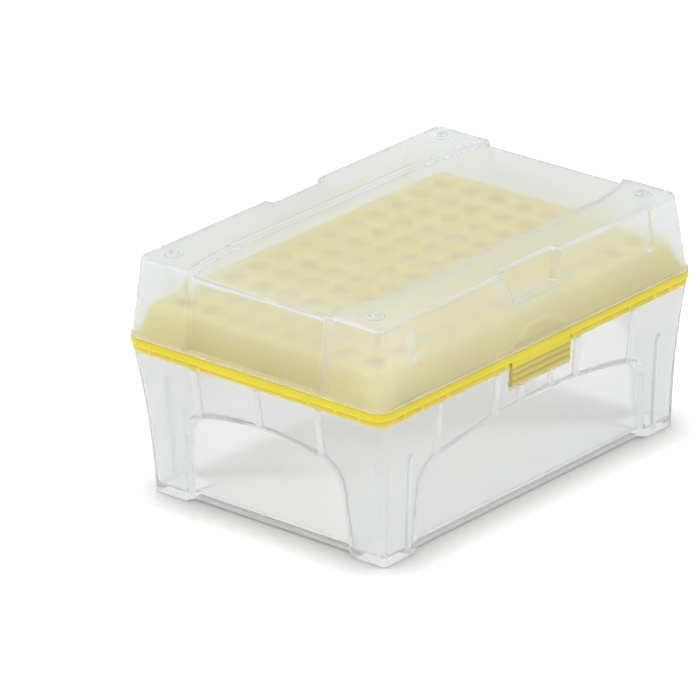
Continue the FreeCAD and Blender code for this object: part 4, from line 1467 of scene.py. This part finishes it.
@dataclass(frozen=True)
class Studio:
    """Camera, lamps, white background and pale floor."""

    azimuth: float = 48.045
    elevation: float = 22.741
    roll: float = -1.705
    distance: float = 1.7053
    lens: float = 343.47
    target: Triple = (-0.00143, 0.01778, 0.02502)
    sensor: float = 36.0
    far: float = 20.0
    fill: float = 0.58
    whiteness: tuple[tuple[str, float], ...] = (
        ("Is Camera Ray", 1.0),
        ("Is Glossy Ray", 0.6),
        ("Is Transmission Ray", 0.95),
    )
    lamps: tuple[Lamp, ...] = (
        Lamp("key", (-0.05, 0.34, 0.85), 0.3, 1.2),
        Lamp("side", (0.72, -0.2, 0.66), 0.5, 0.42),
        Lamp("low", (-0.8, 0.1, 0.42), 0.5, 0.6),
    )
    floor_side: float = 3.0
    floor_grey: float = 0.55
    floor_glow: float = 0.79
    floor_behind: float = 0.95
    floor_grey_behind: float = 0.1
    painted_shadow_reach: float = 0.014
    painted_shadow_depth: float = 1.5

    def build(self) -> None:
        """Builds the whole studio."""
        self._camera()
        self._world()
        for lamp in self.lamps:
            lamp.build()
        self._floor()
        bpy.context.scene.view_settings.view_transform = "Standard"

    def _camera(self) -> None:
        """A long lens at the height of a product picture."""
        turn, tilt, roll = (math.radians(angle) for angle in (self.azimuth, self.elevation, self.roll))
        back = Vector((-math.sin(turn) * math.cos(tilt), -math.cos(turn) * math.cos(tilt), math.sin(tilt)))
        right = Vector((math.cos(turn), -math.sin(turn), 0))
        up = back.cross(right)
        rolled_right = right * math.cos(roll) + up * math.sin(roll)
        rolled_up = up * math.cos(roll) - right * math.sin(roll)
        data = bpy.data.cameras.new("camera")
        data.lens, data.sensor_width, data.clip_end = self.lens, self.sensor, self.far
        camera = bpy.data.objects.new("camera", data)
        axes = Matrix((rolled_right, rolled_up, back)).transposed().to_4x4()
        camera.matrix_world = Matrix.Translation(Vector(self.target) + back * self.distance) @ axes
        bpy.context.scene.collection.objects.link(camera)
        bpy.context.scene.camera = camera

    def _world(self) -> None:
        """An even light that the camera, gloss and clear plastic see as white."""
        world = bpy.data.worlds.new("world")
        world.use_nodes = True
        bpy.context.scene.world = world
        tree = world.node_tree
        tree.nodes.clear()
        path = placed(tree, "LightPath")
        seen: NodeSocket | None = None
        for ray, whiteness in self.whiteness:
            part = placed(tree, "Math", {0: path.outputs[ray], 1: whiteness}, operation="MULTIPLY")
            if seen is not None:
                part = placed(tree, "Math", {0: seen, 1: part.outputs["Value"]}, operation="MAXIMUM")
            seen = part.outputs["Value"]
        plain = placed(tree, "Background", {"Strength": self.fill, "Color": (1, 1, 1, 1)})
        white = placed(tree, "Background", {"Color": (1, 1, 1, 1)})
        placed(tree, "OutputWorld", {"Surface": layered(tree, seen, plain, white).outputs["Shader"]})

    def _floor(self) -> None:
        """A pale floor that keeps the box's shadow from the lamps; ambient occlusion darkens its glow near
        the box, a painted contact shadow.
        """
        side = self.floor_side
        mesh = bpy.data.meshes.new("floor")
        corners = [(-side, -side, 0), (side, -side, 0), (side, side, 0), (-side, side, 0)]
        mesh.from_pydata(corners, [], [(0, 1, 2, 3)])
        floor = bpy.data.objects.new("floor", mesh)
        bpy.context.scene.collection.objects.link(floor)
        material = bare_material("floor")
        tree = material.node_tree
        behind = placed(tree, "LightPath").outputs["Is Transmission Ray"]
        # Ambient occlusion darkens the floor's glow near the box: painted contact shadow.
        near = placed(tree, "AmbientOcclusion", {"Distance": self.painted_shadow_reach}, samples=8)
        deep = placed(tree, "Math", {0: near.outputs["AO"], 1: self.painted_shadow_depth}, operation="POWER")
        painted_shadow_glow = between(tree, deep.outputs["Value"], 0.0, self.floor_glow)
        glow = placed(tree, "Mix", {"Factor": behind, "A": painted_shadow_glow, "B": self.floor_behind})
        look = {
            "Roughness": 1.0,
            "Specular IOR Level": 0.0,
            "Emission Strength": 1.0,
            "Emission Color": glow.outputs["Result"],
            "Base Color": between(tree, behind, self.floor_grey, self.floor_grey_behind),
        }
        shader = placed(tree, "BsdfPrincipled", look)
        placed(tree, "OutputMaterial", {"Surface": shader.outputs["BSDF"]})
        mesh.materials.append(material)


def base_finishes() -> list[ClearPlastic]:
    """Finishes of the base: walls; rim, tinted yellow as painted light of the lit tray behind it; edges and
    ribs, whiter as a painted highlight; end panels, clearer and whiter as painted light.
    """
    # The rim's yellow tint is painted light: it paints the lit yellow of the tray's skirt seen through the
    # clear rim.
    painted_tray_light = {"clearness": 0.4, "veil": 0.1, "veil_colour": (1.0, 0.93, 0.45), "ior": 1.2}
    return [
        ClearPlastic("clear_plastic"),
        ClearPlastic("clear_rim", (0.95, 0.82, 0.16), (0.93, 0.78, 0.13), **painted_tray_light),
        # Whiter, less clear edges and ribs: painted highlight.
        ClearPlastic("clear_edges", (0.93, 0.95, 0.97), (0.92, 0.94, 0.96), clearness=0.65, veil=0.08),
        # Clearer and whiter than the walls: painted light on the end panels.
        ClearPlastic("end_panels", (1.0, 1.0, 1.0), (0.98, 0.98, 0.98), clearness=0.97, veil=0.02),
    ]


def lid_finishes() -> list[ClearPlastic]:
    """Finishes of the lid: grained faces, window, lower lip, edges and ribs; the lip and the edges are whiter
    as a painted highlight.
    """
    body = {"colour": (0.93, 0.95, 0.985), "cloudy": (0.92, 0.94, 0.975), "clearness": 0.85, "veil": 0.19}
    body |= {"ior": 1.45, "shadow_clearness": 1.0}
    return [
        ClearPlastic("frosted_plastic", roughness=(0.18, 0.24), **body),
        ClearPlastic("polished_window", roughness=(0.03, 0.06), **body),
        # The lip's cream-white finish is a painted highlight.
        ClearPlastic("thin_lip", (0.98, 0.97, 0.9), (0.97, 0.96, 0.89), clearness=0.7, veil=0.15, ior=1.12),
        # Whiter, less clear edges and ribs: painted highlight.
        ClearPlastic("frosted_edges", (0.94, 0.96, 0.99), (0.93, 0.95, 0.98), clearness=0.5, veil=0.1),
    ]


def main() -> None:
    """Builds the pieces in order and reports each."""
    logging.basicConfig(level=logging.INFO, format="%(name)s: %(message)s")
    Studio().build()
    hinge = Hinge()
    tray = YellowPlastic("yellow_plastic")
    # A darker, greyer copy of the tray's yellow: painted shade on the tab.
    tab = YellowPlastic("thin_tab", (0.72, 0.63, 0.18), (0.68, 0.58, 0.15))
    pieces = [
        BaseBox().build(hinge, base_finishes()),
        TipTray().build([tray, tab]),
        Lid().build(hinge, lid_finishes()),
    ]
    for piece in pieces:
        LOG.info("%s: %d faces", piece.name, len(piece.data.polygons))


if __name__ == "__main__":
    main()
